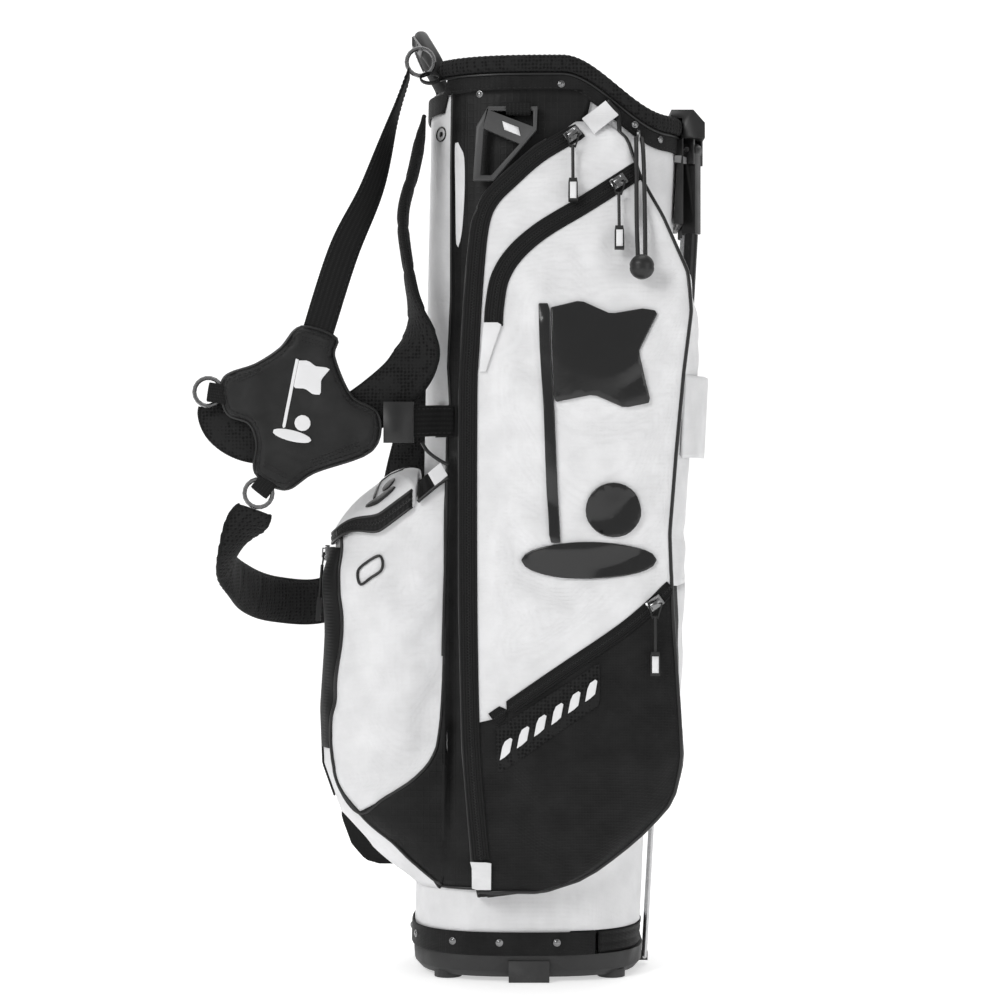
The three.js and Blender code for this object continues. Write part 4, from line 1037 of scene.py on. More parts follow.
def distance(x, z, line):
    """From a point to a polyline, in the XZ plane."""
    best = 1e9
    for (ax, az), (bx, bz) in zip(line, line[1:]):
        dx, dz = bx - ax, bz - az
        t = clamp(((x - ax) * dx + (z - az) * dz) / (dx * dx + dz * dz))
        best = min(best, math.hypot(x - ax - t * dx, z - az - t * dz))
    return best


def slack(x, z):
    """0 on a zip, where the cloth is held flat, to 1 in the middle of a panel."""
    near = min(distance(x, z, line) for line in (MAIN_ZIP, UPPER_ZIP, LOWER_LINE))
    return smooth((near - 11) / 34)


def pocket_point(column, z, far):
    """A point of the pocket's section at a height: x, and how far out it stands."""
    kind, f = SECTION[column]
    left, right = on_line(LEFT_EDGE, z), on_line(RIGHT_EDGE, z)
    right = max(right, left + 12)
    out = on_line(FRONT, z, 0, 1) * (137 / 151 if far else 1)
    out = mix(out, out - 9, smooth((z - 792) / 9)) - 8 * smooth((POCKET_FOOT + 8 - z) / 8)
    tight, round_ = min(4, (right - left) / 4), min(10, (right - left) / 4)
    if kind == "left":
        return left, mix(behind(left, z), out - tight, f)
    if kind == "left_corner":
        a = f * math.pi / 2
        return left + tight * (1 - math.cos(a)), out - tight * (1 - math.sin(a))
    if kind == "front":
        x = mix(left + tight, right - round_, f)
        return x, out + 3.5 * slack(x, z) * math.sin(math.pi * f) ** 0.5
    if kind == "right_corner":
        a = f * math.pi / 2
        return right - round_ * (1 - math.sin(a)), out - round_ * (1 - math.cos(a))
    if kind == "right":
        flare = on_line(FLARE, z) * math.sin(f * math.pi / 2)
        return right + flare + 2.5 * math.sin(math.pi * f) - 2 * f, mix(out - round_, POCKET_BACK, f)
    x = mix(right + on_line(FLARE, z) - 2, left, f)
    return x, behind(x, z)


def behind(x, z):
    """Where the pocket's back lies: on the sleeve, or past it level with the gusset's hem."""
    return max(POCKET_BACK, wall_y(x, z) + 0.8)


def pocket_grid(far):
    """Rows of points up the pocket. One row follows the lower zip, so that the cloth can change there."""
    side = 1 if far else -1
    rows, below, above = [], 26, 84
    for i in range(below + above + 1):
        row = []
        for column in range(len(SECTION)):
            z = mix(POCKET_FOOT, POCKET_HEAD, i / (below + above))
            for _ in range(6):
                x, out = pocket_point(column, z, far)
                seam = on_line(LOWER_LINE, x, 0, 1)
                if i <= below:
                    z = mix(POCKET_FOOT, seam, i / below)
                else:
                    z = mix(seam, POCKET_HEAD, (i - below) / above)
            x, out = pocket_point(column, z, far)
            row.append(Vector((x, side * out, z)))
        rows.append(row)
    return rows, below


def pocket_pins():
    """How firmly each column of the section is held: the back and the zip's side all the way."""
    held = {"back": 1.0, "left": 1.0, "left_corner": 1.0, "right_corner": 0.9, "right": 0.3, "front": 0.0}
    return [held[kind] for kind, _ in SECTION]


def make_pocket(far):
    rows, below = pocket_grid(far)
    cols = len(SECTION)
    verts = [p for r in rows for p in r]
    verts = [
        p + (q - p) * (slack(p.x, p.z) if SECTION[i % cols][0] in ("front", "right") else 0)
        for i, (p, q) in enumerate(zip(verts, crease(verts, 62, 3.4, 3.0 if far else 0.0)))
    ]
    faces = grid_faces(len(rows), cols, round_cols=True)
    last = (len(rows) - 1) * cols
    faces += [tuple(range(cols)), tuple(range(last, last + cols))]
    whole = outward(obj_of("pocket", verts, faces, "bag", M["white_fabric"]))
    base = pocket_pins()
    pins = []
    for i, p in enumerate(verts):
        kind = SECTION[i % cols][0]
        row = i // cols
        held = base[i % cols]
        if kind in ("front", "right_corner"):
            held = max(held, 1 - slack(p.x, p.z))
        if row in (0, len(rows) - 1):
            held = 1.0
        pins.append(held)
    relax(whole, pins, pressure=2.0, cap=6, shrink=-0.018, gravity=0.25)
    points = [v.co / MM for v in whole.data.vertices]
    edges = {
        "left": [points[r * cols + LEFT_CORNER] for r in range(len(rows))],
        "right": [points[r * cols + RIGHT_CORNER] for r in range(len(rows))],
        "foot": [points[cols + c] for c in range(LEFT_CORNER, RIGHT_CORNER + 1)],
    }
    if far:
        whole.name = own_name("far_pocket")
        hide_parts("far_pocket")
        return [whole], edges
    bpy.data.objects.remove(whole)
    parts = []
    for name, low, high, mat in (
        ("valuables_pocket", 0, below, "black_fabric"),
        ("clothing_pocket", below, len(rows) - 1, "white_fabric"),
    ):
        part = loft(name, [points[r * cols : (r + 1) * cols] for r in range(low, high + 1)], "bag", M[mat])
        if mat == "black_fabric":
            part.data.materials.append(M["white_fabric"])
            for face in part.data.polygons[: (high - low) * cols]:
                if SECTION[face.index % cols][0] in ("right", "back"):
                    face.material_index = 1
        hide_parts(name)
        parts.append(part)
    return parts, edges


FOLDS = [(-8, 0.3), (-7.6, 1.3), (-6.6, 1.6), (-5.8, 0.7), (-5.2, 1.5), (-4.1, 1.6), (-3.5, 0.7),
         (-3, 1.5), (-1.9, 1.6), (-1.4, 0.8), (0, 0.7)]


def folds(half):
    """A zip tape's section: a turned edge, a fold over the teeth on each side, and the flat under them."""
    scale = half / 8
    side = [(u * scale, h) for u, h in FOLDS]
    return side + [(-u, h) for u, h in side[-2::-1]]


def make_zip(name, line, half, surface, node_name=None, side=-1):
    """A tape with its folds and teeth, laid on the pocket's face."""
    path = even(catmull(plan(line), 6), 4)

    def on(p):
        return surface.cast((p.x, side * 400, p.z), (0, -side, 0)) or surface.close((p.x, side * 140, p.z))

    centre = [on(p) for p in path]
    tape = band(name + "_tape", centre, folds(half), surface, 0.5, on)
    if node_name:
        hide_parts(node_name)
    outs = [surface_out(surface, p) for p in centre]
    line3 = [p + o * 0.9 for p, o in zip(centre, outs)]
    teeth(name + "_coil", line3, outs, "bag", M["black_plastic"], pitch=1.4, wide=2.0, high=0.9)


def make_front():
    """The near pocket and everything sewn to its face."""
    parts, edges = make_pocket(far=False)
    face = Surface(*parts)
    head = [Vector((x, -y, z)) for x, y, z in ((83, 102, 809), (73, 102, 821))]
    line = edges["foot"][:-1] + edges["right"][1:-2] + head
    sweep("pocket_piping", even(line, 3), disc(2.1), "bag", PIPING)
    sweep("zip_piping", even(edges["left"][4:-3], 3), disc(1.5), "bag", PIPING)
    make_zip("main_zip", MAIN_ZIP, 8, face, "main_zip_tape")
    make_zip("upper_zip", UPPER_ZIP, 8.3, face, "upper_zip_tape")
    make_zip("lower_zip", LOWER_ZIP, 6, face, "lower_zip_tape")
    white = M["white_fabric"]
    tab = []
    corners = [Vector(p) for p in plan(((60, 787), (49, 802), (83, 806), (71, 820)))]
    for i in range(7):
        low, high = corners[0].lerp(corners[1], i / 6), corners[2].lerp(corners[3], i / 6)
        line = [low.lerp(high, k / 10) for k in range(11)]
        tab.append([Vector((p.x, -mix(117, 105.5, smooth((p.z - 790) / 22)), p.z)) for p in line])
    patch("main_zip_head_tab", tab, "bag", white, thick=1.4, bevel=0.3)
    decal("main_zip_foot_tab", [(-53, 116), (-35, 116), (-35, 90), (-53, 90)], face, "bag", white, lift=1.8)
    decal("upper_zip_tab", [(-42, 611), (-25, 611), (-40, 566), (-46, 566)], face, "bag", white, lift=1.6)
    return face


def make_far_side():
    """The far pocket's own zip and piping, plainer than the near one's."""
    parts, edges = make_pocket(far=True)
    face = Surface(*parts)
    line = edges["foot"][:-1] + edges["right"][1:-2]
    sweep("far_pocket_piping", even(line, 3), disc(2.1), "bag", PIPING)
    sweep("far_zip_piping", even(edges["left"][4:-3], 3), disc(1.5), "bag", PIPING)
    make_zip("far_zip", MAIN_ZIP, 8, face, side=1)


PIN = [(8, 628), (18, 628), (28, 410), (18, 410)]
FLAG = [(19, 624), (46, 631), (74, 619), (104, 624), (118, 621), (99, 583), (110, 538), (86, 533), (58, 545),
        (23, 538)]
BALL_AT, BALL_ROUND = (76, 440), 25


def blob(x, z, rx, rz, count=28, turn=0.0):
    pts = []
    for k in range(count):
        a = 2 * math.pi * k / count
        u, v = rx * math.cos(a), rz * math.sin(a)
        pts.append((x + u * math.cos(turn) - v * math.sin(turn), z + u * math.sin(turn) + v * math.cos(turn)))
    return pts


def placed(outline, scale, x, z, turn=0.0):
    """The emblem's outline, scaled about its own middle and set somewhere else."""
    cx, cz = 55, 500
    c, s = math.cos(turn), math.sin(turn)
    out = []
    for u, v in outline:
        du, dv = (u - cx) * scale, (v - cz) * scale
        out.append((x + du * c - dv * s, z + du * s + dv * c))
    return out


BALL_MARK, GREEN = blob(*BALL_AT, BALL_ROUND, BALL_ROUND), blob(54, 394, 62, 17, 44)


def make_emblem(face):
    """A generic golf mark of raised gloss print: a flag on its pin, a ball, and the green's edge."""
    pieces = []
    for outline, thick, longest in ((PIN, 2.8, 12), (FLAG, 3.0, 9), (BALL_MARK, 3.4, 8), (GREEN, 2.8, 10)):
        pieces.append(decal("mark", outline, face, "bag", EMBLEM, thick=thick, longest=longest, bevel=0.9))
    join("pocket_emblem", pieces)


def make_dashes(face):
    """A row of plain slanted dashes on a patch of mesh."""
    ground = [(-31, 240), (64, 301), (64, 263), (-29, 199)]
    decal("print_patch", ground, face, "bag", M["spacer_mesh"], thick=0.9, lift=0.2)
    bars = []
    for k in range(6):
        x0, z0 = -27 + 15.5 * k, 238 + 10.6 * k
        quad = [(x0, z0 - 26), (x0 + 9, z0 - 20), (x0 + 12, z0 - 4), (x0 + 3, z0 - 10)]
        bars.append(decal("dash", quad, face, "bag", EMBLEM_WHITE, thick=0.8, lift=1.2, longest=9))
    join("patch_dashes", bars)


# ------------------------------------------------------------------ ball pocket

BALL_LEVELS = [(64, -86, 72), (80, -100, 80), (106, -138, 86), (152, -181, 91), (197, -197, 93),
               (250, -199, 94), (520, -181, 90)]
BALL_FOOT = 84  # the pocket's cloth is sewn to the sleeve here
BALL_ZIP_Y = -14
BALL = {"middle": -60, "power": 3.2, "right": -76.4, "seat": (-184, 411, 0.745), "hinge": -104.5}


def seat_z(x):
    x0, z0, slope = BALL["seat"]
    return z0 + (x - x0) * slope


def ball_half(z):
    return BALL["middle"] - on_line(BALL_LEVELS, z, 0, 1), on_line(BALL_LEVELS, z, 0, 2)


def ball_at(turn, z, out=0.0):
    a, b = ball_half(z)
    a, b, p = a + out, b + out, BALL["power"]
    c, s = math.cos(turn), math.sin(turn)
    r = (abs(c / a) ** p + abs(s / b) ** p) ** (-1 / p)
    return Vector((BALL["middle"] + r * c, r * s, z))


def ball_y(x, z):
    a, b = ball_half(z)
    u = clamp(abs(x - BALL["middle"]) / a, 0, 0.999)
    return b * (1 - u ** BALL["power"]) ** (1 / BALL["power"])


def side_dip(p):
    """0 at the lid's front to 1 along its sides, where its edge droops."""
    return smooth((p.x + 180) / 42) * clamp(abs(p.y) / 85) ** 3


def off_wall(p, gap=0.7):
    """A point moved out to the sleeve's surface if it is inside it."""
    a, b = wall_half(p.z) + gap, SLEEVE["b"] + gap
    x, n = p.x - wall_middle(p.z), SLEEVE["power"]
    r = (abs(x / a) ** n + abs(p.y / b) ** n) ** (1 / n)
    return p if r >= 1 else Vector((wall_middle(p.z) + x / r, p.y / r, p.z))


def make_ball_pocket():
    rows, cols = 74, 78
    verts = []
    for i in range(rows):
        for j in range(cols):
            t = i / (rows - 1)
            z = 250.0
            for _ in range(6):
                b = ball_half(z)[1]
                start = math.atan2(b, BALL["right"] - BALL["middle"])
                turn = mix(-start, start - 2 * math.pi, clamp((j - 1) / (cols - 3)))
                p = ball_at(turn, z, -0.6)
                z = mix(BALL_FOOT, seat_z(p.x) - 0.4 - 14 * side_dip(p), t)
            p = ball_at(turn, z, -0.6 - 2.6 * smooth((t - 0.9) / 0.06))
            p.z = z
            if j in (0, cols - 1):
                p.y = math.copysign(wall_y(p.x, z) + 0.8, p.y)
            verts.append(off_wall(p))
    verts = [p + (q - p) * ball_slack(p) for p, q in zip(verts, crease(verts, 55, 2.6, 7.0))]
    pouch = obj_of("ball_pocket", verts, grid_faces(rows, cols), "bag", M["white_fabric"])
    face_towards(pouch, (-1, 0, 0))
    pins = [1 - ball_slack(Vector(v)) for v in verts]
    for i in range(rows):
        pins[i * cols] = pins[i * cols + 1] = pins[(i + 1) * cols - 1] = pins[(i + 1) * cols - 2] = 1
    relax(pouch, pins, pressure=1.6, cap=4, shrink=-0.012, gravity=0.2)
    for v in pouch.data.vertices:
        v.co = off_wall(v.co / MM) * MM
    face = Surface(pouch)
    thicken(pouch, 2.6, offset=-1.0, inner=LINING)
    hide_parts("ball_pocket")
    floor = []
    for i in range(13):
        x = mix(-184, -112, i / 12)
        floor.append([Vector((x, k / 5 * ball_y(x, 160) * 0.95, 160)) for k in range(-5, 6)])
    patch("ball_pocket_floor", floor, "bag", LINING, thick=2, out=(0, 0, 1))
    return face


def ball_slack(p):
    """0 at the pocket's foot, mouth and zip, 1 in the middle of its panels."""
    ends = smooth((p.z - BALL_FOOT) / 50) * smooth((seat_z(p.x) - p.z - 6) / 40)
    strip = smooth((abs(p.y - BALL_ZIP_Y) - 18) / 26) if p.x < -150 else 1.0
    return ends * strip


WHITE_EDGE = [(-180, 420), (-179, 370), (-181, 300), (-187, 243), (-186, 215), (-178, 182), (-158, 154.6),
              (-136, 169), (-114, 183), (-102, 193), (-93, 203), (-87, 214), (-84, 226), (-81, 262),
              (-78.6, 337), (-77.8, 470)]
PANEL_EDGE = [(-181, 300), (-187, 243), (-186, 215), (-178, 182), (-158, 154.6), (-137, 134), (-115, 115),
              (-100, 102), (-89, 93), (-80, 88)]
MESH_PAIRS = [
    ((-158, 156), (-158, 154)), ((-136, 169), (-142, 139)), ((-114, 183), (-122, 121)),
    ((-102, 194), (-106, 107)), ((-93, 203), (-93, 96)), ((-84, 226), (-80, 88)),
    ((-81, 262), (-78.6, 160)), ((-78.8, 300), (-77.6, 250)), ((-78, 330), (-77, 326)),
]


SLANTED_RING = [(-8.8, -12.3), (-10.6, -6), (-9.6, 0.9), (-1.9, 7.8), (5.6, 12.8), (9.1, 13), (11, 6.5),
                (9.4, -1), (1.9, -7.3), (-5.6, -12.9)]


def ball_near(face):
    """Lays a point (x, z) on the pocket's near side, from outside it towards its middle line."""

    def lay(x, z, lift=0.0):
        half = ball_half(z)[0]
        x = max(x, BALL["middle"] - half * 0.97)
        at = Vector((x, -ball_y(x, z), z))
        way = Vector((BALL["middle"] - x, -at.y, 0)).normalized()
        return face.cast(at - way * 60, way, lift) or at - way * lift

    return lay


def make_ball_trim(face):
    lay = ball_near(face)
    top = catmull([(x, 0, z) for (x, z), _ in MESH_PAIRS], 5)
    low = catmull([(x, 0, z) for _, (x, z) in MESH_PAIRS], 5)
    rows = []
    for k in range(13):
        t = k / 12
        rows.append([lay(mix(a.x, b.x, t), mix(a.z, b.z, t), 0.7) for a, b in zip(top, low)])
    patch("ball_pocket_mesh", rows, "bag", M["ripstop"], thick=0.9)
    pipes = []
    for line in (WHITE_EDGE, PANEL_EDGE):
        edge = [lay(p.x, p.z, 1.0) for p in even(catmull(plan(line), 6), 4)]
        pipes.append(sweep("pipe", edge, disc(1.6), "bag", PIPING))
    join("ball_pocket_piping", pipes)
    ring = even(catmull([(x - 149, 0, z + 383) for x, z in SLANTED_RING], 6, closed=True), 1.5, closed=True)
    loop = [lay(p.x, p.z, 1.2) for p in ring]
    sweep("ball_pocket_ring", loop, disc(1.35), "bag", PIPING, closed=True)
    make_ball_zip(face)
    make_zip_flap(face, lay)
    make_lid_corner()


def make_zip_flap(face, lay):
    """The cloth flap beside the long zip, standing a little proud where the zip is drawn up."""
    rows = []
    for i in range(48):
        z = mix(214, 404, i / 47)
        edge = lay(on_line(WHITE_EDGE[:6], z), z)
        start, end = math.atan2(-27, -70), math.atan2(edge.y, edge.x + 130)
        proud = 1.0 + 8 * math.exp(-(((z - 376) / 40) ** 2))
        row = []
        for k in range(13):
            u = k / 12
            turn = mix(start, end, u)
            way = Vector((math.cos(turn), math.sin(turn), 0))
            hit = face.cast(Vector((-130, 0, z)) + way * 200, -way) or edge
            fold = 0.5 * math.sin(math.pi * 5 * u) ** 2
            row.append(hit + way * (0.6 + fold + proud * math.sin(math.pi * u) ** 0.8))
        rows.append(row)
    patch("ball_zip_flap", rows, "bag", M["zip_tape"], thick=0.9, out=(-1, -1, 0))


def make_lid_corner():
    """The end of the lid's band on the bag: cloth, a white tab over it, and the piping above."""

    def lay(x, z, lift):
        return Vector((x, -ball_y(x, 440) - lift, z))

    def quad(name, a, b, c, d, mat, lift):
        steps = (0, 0.25, 0.5, 0.75, 1)
        rows = []
        for v in steps:
            flat = [[mix(mix(a[i], b[i], u), mix(d[i], c[i], u), v) for i in (0, 1)] for u in steps]
            rows.append([lay(x, z, lift) for x, z in flat])
        patch(name, rows, "bag", mat, thick=1.0, bevel=0.2)

    quad("lid_band_end", (-103.8, 466), (-93, 475), (-86, 462), (-103.8, 448.5), M["zip_tape"], 0.8)
    quad("lid_band_tab", (-94.5, 474), (-82.6, 484), (-75.7, 472), (-87.6, 462), M["white_fabric"], 1.6)
    upper = [lay(x, z, 1.6) for x, z in ((-100, 503), (-94.5, 494.4), (-84.5, 486.7), (-75, 481.7))]
    lower = [lay(x, z, 1.6) for x, z in ((-103.8, 447.5), (-87.6, 461), (-75, 469.6))]
    pipes = [sweep("pipe", catmull(line, 8), disc(1.7), "bag", PIPING) for line in (upper, lower)]
    join("lid_band_piping", pipes)


def make_ball_zip(face):
    def on(p):
        return face.cast((-400, p.y, p.z), (1, 0, 0)) or face.close((-200, p.y, p.z))

    path = [on(Vector((0, BALL_ZIP_Y, z))) for z in range(402, 162, -4)]
    tape = band("ball_zip_tape", path, folds(15), face, 0.6, on)
    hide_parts("ball_zip_tape")
    outs = [surface_out(face, p) for p in path]
    teeth("ball_zip_teeth", [p + o * 0.8 for p, o in zip(path, outs)], outs, "bag", M["dark_metal"],
          pitch=3.2, wide=8, high=1.4)


def lid_outline():
    """The lid's outline: the pocket's mouth, cut straight at the hinge."""
    edge = BALL["hinge"] - 0.5
    round_ = [ball_at(math.pi / 2 + math.pi * k / 120, 411) for k in range(121)]
    pts = [Vector((p.x, p.y, 0)) for p in round_ if p.x < edge]
    straight = [Vector((edge, mix(pts[-1].y, pts[0].y, k / 24), 0)) for k in range(1, 24)]
    return even(pts + straight, 4, closed=True)


def lid_low(p):
    """How far the lid's band starts above the mouth's plane."""
    return -1 - 23 * side_dip(p)


def lid_high(p):
    """How far it ends above it."""
    return 9 - 17 * side_dip(p)


def make_lid():
    outline = [off_wall(Vector((p.x, p.y, 470)), 1.5) for p in lid_outline()]
    middle = Vector((-148, 0, 0))
    under = [(0.1, 6.0, 0), (0.5, 5.0, 0), (0.9, 2.0, 14), (0.965, 1.0, 14)]
    rings = []
    for grow, up, dip in under:
        rings.append([lid_point(middle, p, grow, up - dip * side_dip(p)) for p in outline])
    for grow, up in ((0.97, 0.6), (0.985, 0), (1.0, 1.2)):
        rings.append([lid_point(middle, p, grow, lid_low(p) + up) for p in outline])
    for grow in (1.0, 0.985, 0.95, 0.88, 0.8, 0.7, 0.55, 0.4, 0.2, 0.06):
        rings.append([lid_point(middle, p, grow, mix(25, lid_high(p), grow**3)) for p in outline])
    lid = loft("ball_lid", rings, "lid", M["white_fabric"])
    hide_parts("ball_lid")
    arc = [p for p in outline if p.x < BALL["hinge"] - 2]
    start = max(range(len(arc)), key=lambda i: (arc[i] - arc[i - 1]).length)
    arc = arc[start:] + arc[:start]
    outs = [Vector((p.x - middle.x, p.y, 0)).normalized() for p in arc]
    rows = []
    for p, out in zip(arc, outs):
        row = []
        for k in range(17):
            z = seat_z(p.x) + mix(lid_low(p), lid_high(p), k / 16)
            row.append(Vector((p.x, p.y, z)) + out * (0.3 + 0.7 * math.sin(math.pi * 4 * k / 16) ** 2))
        rows.append(row)
    patch("lid_zip_tape", rows, "lid", M["zip_tape"], thick=0.7, out=(-1, 0, 0))
    line = [Vector((p.x, p.y, seat_z(p.x) + (lid_low(p) + lid_high(p)) / 2)) + o for p, o in zip(arc, outs)]
    teeth("lid_zip_coil", line, outs, "lid", M["black_plastic"], pitch=1.6, wide=2.2, high=0.8)
    for name, height in (("upper", lid_high), ("lower", lid_low)):
        edge = [Vector((p.x, p.y, seat_z(p.x) + height(p))) + o * 0.6 for p, o in zip(arc, outs)]
        sweep("lid_piping_" + name, edge, disc(1.3), "lid", PIPING)
    face = Surface(lid)
    marks = []
    for shape in (PIN, FLAG, BALL_MARK, GREEN):
        flat = plan(placed(shape, 0.24, -134, -46, math.radians(-12)))
        verts, faces = fill(even(flat, 3, closed=True), 5)
        laid = [face.cast((v.x, v.z, 600), (0, 0, -1), 0.2) for v in verts]
        piece = obj_of("mark", laid, faces, "lid", EMBLEM)
        face_towards(piece, (0, 0, 1))
        marks.append(thicken(piece, 1.0, bevel=0.2))
    join("lid_emblem", marks)


def lid_point(middle, p, grow, up):
    x, y = mix(middle.x, p.x, grow), mix(middle.y, p.y, grow)
    return Vector((x, y, seat_z(x) + up + 0.3 * noise.noise(Vector((x / 14, y / 14, 0)))))


def make_bottle_sleeve():
    outline = [(-68, 298), (-120, 298), (-150, 246), (-179, 200), (-186, 165), (-186, 131), (-176, 104),
               (-162, 88), (-148, 84), (-68, 84)]
    line = even(plan(outline), 6, closed=True)
    middle = Vector((-118, 0, 178))
    rings = []
    steps = ((0, 1.0), (0.3, 1.01), (0.6, 1.0), (0.82, 0.97), (0.94, 0.9), (1.0, 0.78), (1.0, 0.5), (1.0, 0.2))
    for step, grow in steps:
        ring = []
        for p in line:
            x, z = mix(middle.x, p.x, grow), mix(middle.z, p.z, grow)
            base = max(ball_y(x, z), wall_y(x, z), 86) + 0.8
            y = mix(base, 121, step) + (0.8 * noise.noise(Vector((x / 22, 1, z / 30))) if step > 0.5 else 0)
            ring.append(Vector((x, min(y, 121.6), z)))
        rings.append(ring)
    pouch = loft("bottle_sleeve", rings, "bag", M["black_fabric"])
    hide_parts("bottle_sleeve")
    hem = [Vector((mix(-69, -119, t), 119.8, 295)) for t in (0, 0.25, 0.5, 0.75, 1)]
    upright = [Vector((0, 0, 1))] * len(hem)
    sweep("bottle_sleeve_hem", hem, slab(14, 2, per=3), "bag", M["black_webbing"], across=upright)


# ------------------------------------------------------------------ the strap and its rings

HUB_OUTLINE = [(-211, 609), (-179, 599), (-181, 582), (-165, 545), (-140, 528), (-146, 495), (-199, 475),
               (-226, 459), (-253, 474), (-252, 501), (-259, 520), (-280, 530), (-283, 561), (-253, 574),
               (-230, 589)]
HUB_Y = (-121.5, -108.6)
HUB_MIDDLE = (-213, 537)
PAD_A = [
    ((-291, -102.1, 541), (0.95, 0, 0.31)), ((-281, -102.1, 519), (0.72, 0, 0.69)),
    ((-256, -102.1, 506), (0.2, 0, 0.98)), ((-215, -102.1, 507), (-0.1, 0, 1)),
    ((-172, -101.8, 521), (-0.38, 0, 0.93)), ((-136, -98.5, 545), (-0.62, 0, 0.78)),
    ((-110, -95, 572), (-0.5, 0.6, 0.6)), ((-103, -90, 605), (-0.15, 0.95, 0.2)),
    ((-112, -86, 660), (0, 1, 0)), ((-118, -82, 715), (0, 1, 0)), ((-108, -74, 760), (0, 1, 0)),
    ((-99, -62, 806), (0, 1, 0)),
]
PAD_B = [
    ((-254.2, -114, 439.7), (0.9, 0, 0.3)), ((-276, -92, 405), (0.6, 0.3, 0.75)),
    ((-285, -45, 382), (0, 0.2, 1)), ((-274, 15, 362), (0.1, 0.1, 1)), ((-250, 70, 350), (0.1, 0, 1)),
    ((-205, 106, 348), (-0.1, 0, 1)), ((-160, 112, 374), (-0.6, 0, 0.8)), ((-132, 111, 430), (-0.95, 0, 0.3)),
    ((-117, 109, 490), (-1, 0, 0.1)), ((-105, 102, 540), (-0.95, -0.3, 0)), ((-90, 83, 580), (-0.75, -0.65, 0)),
    ((-84.6, 74.6, 606), (-0.71, -0.71, 0)),
]
UPPER_WEB = [
    ((-112.9, -70.8, 850.6), (0.1, 0.9, 0.2)), ((-125, -80, 812), (0.2, 0.9, 0.2)),
    ((-146, -98, 740), (0.7, 0.7, 0.2)), ((-172, -108, 680), (0.95, 0.3, 0.3)),
    ((-195, -114.6, 606.4), (0.96, 0, 0.28)),
]
LOWER_WEB = [
    ((-71, -86.4, 523), (0, 0, 1)), ((-84, -92, 523), (0, 0, 1)), ((-104, -106, 522), (0, 0, 1)),
    ((-135, -111, 520), (0, 0, 1)),
]


def stops_line(stops, per=12):
    at = catmull([s[0] for s in stops], per)
    across = catmull([s[1] for s in stops], per)
    return at, [a.normalized() for a in across]


def pad(name, stops, wide, thick):
    """A shoulder pad: foam in spacer mesh, pulled in at its bound edges, with sewn cross channels."""
    line, across = stops_line(stops)
    line_even = even(line, 3)
    share = len(across) / len(line_even)
    sides = [across[min(int(i * share), len(across) - 1)] for i in range(len(line_even))]

    def swell(t):
        end = min(t, 1 - t)
        ends = min(1.0, 0.35 + end * 14)
        channel = 1 - 0.16 * math.exp(-(((t * 11) % 1 - 0.5) / 0.07) ** 2)
        return (1 - 0.25 * math.exp(-end * 60), ends * channel)

    body = sweep(name, line_even, slab(wide - 3, thick, per=7, power=2.6), "bag", M["spacer_mesh"],
                 across=sides, swell=swell)
    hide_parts(name)
    pts, _, flat = frames_along(line_even, sides)
    binding = []
    for s in (-1, 1):
        far = s * (wide / 2 - 2.4)
        edge = [p + a * (far * swell(i / (len(pts) - 1))[0]) for i, (p, a) in enumerate(zip(pts, flat))]
        binding.append(sweep("edge", edge, disc(2.2), "bag", M["black_webbing"]))
    join(name + "_binding", binding)


def make_hub():
    """The stitched nylon hub that both straps meet at."""
    outline = [(p.x, p.z) for p in catmull(plan(HUB_OUTLINE), 5, closed=True)]
    line = even(plan(outline), 3.5, closed=True)
    verts, faces = fill(line, 6)
    flat = [(p.x, p.z) for p in line]
    closed = flat + flat[:1]
    front, back, mid = HUB_Y[0], HUB_Y[1], sum(HUB_Y) / 2
    laid_front, laid_back = [], []
    for v in verts:
        d = distance(v.x, v.z, closed)
        puff = (1 - (1 - clamp(d / 6)) ** 2) ** 0.5
        channel = 1 - 0.1 * math.exp(-(((d - 4.5) / 1.2) ** 2))
        soft = 1.3 * noise.noise(Vector((v.x / 30, 2, v.z / 22))) * smooth(d / 14)
        laid_front.append(Vector((v.x, mix(mid, front, puff * channel) + soft, v.z)))
        laid_back.append(Vector((v.x, mix(mid, back, puff), v.z)))
    n = len(verts)
    both = [list(f) for f in faces] + [[i + n for i in reversed(f)] for f in faces]
    hub = obj_of("strap_hub", laid_front + laid_back, both, "bag", M["strap_fabric"])
    with editing(hub.data) as bm:
        bmesh.ops.remove_doubles(bm, verts=bm.verts, dist=0.05 * MM)
        bmesh.ops.recalc_face_normals(bm, faces=bm.faces)
    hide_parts("strap_hub")
    face = Surface(hub)
    rim = [Vector((p.x, mid, p.z)) for p in line]
    sweep("hub_piping", rim, disc(1.7), "bag", PIPING, closed=True, slot="strap_fabric")
    sewn = []
    for p in even(plan(inset(flat, 4.5)), 2.5, closed=True):
        sewn.append(face.near(p.x, p.z, 0.3) or Vector((p.x, front, p.z)))
    stitches("hub_stitches", sewn, "bag", THREAD, long=3, gap=1.6)
    bars = []
    middle = Vector((HUB_MIDDLE[0], 0, HUB_MIDDLE[1]))
    for first, second in ((0, 1), (6, 5), (7, 8), (13, 12)):
        corners = [Vector(p) for p in plan((HUB_OUTLINE[first], HUB_OUTLINE[second]))]
        for depth in (0.12, 0.17):
            ends = [corner.lerp(middle, depth) for corner in corners]
            bar = [face.near(p.x, p.z, 0.3) for p in even(ends, 2)]
            bars.append(stitches("bar", [p for p in bar if p], "bag", THREAD, long=2.4, gap=1.2))
    join("hub_arm_stitches", bars)
    pieces = []
    for shape in (PIN, FLAG, BALL_MARK, GREEN):
        turned = placed(shape, 0.3, -211, 539, math.radians(-14))
        pieces.append(decal("hub_mark", turned, face, "bag", EMBLEM_WHITE, thick=0.9, longest=5, lift=0.2))
    join("hub_emblem", pieces)


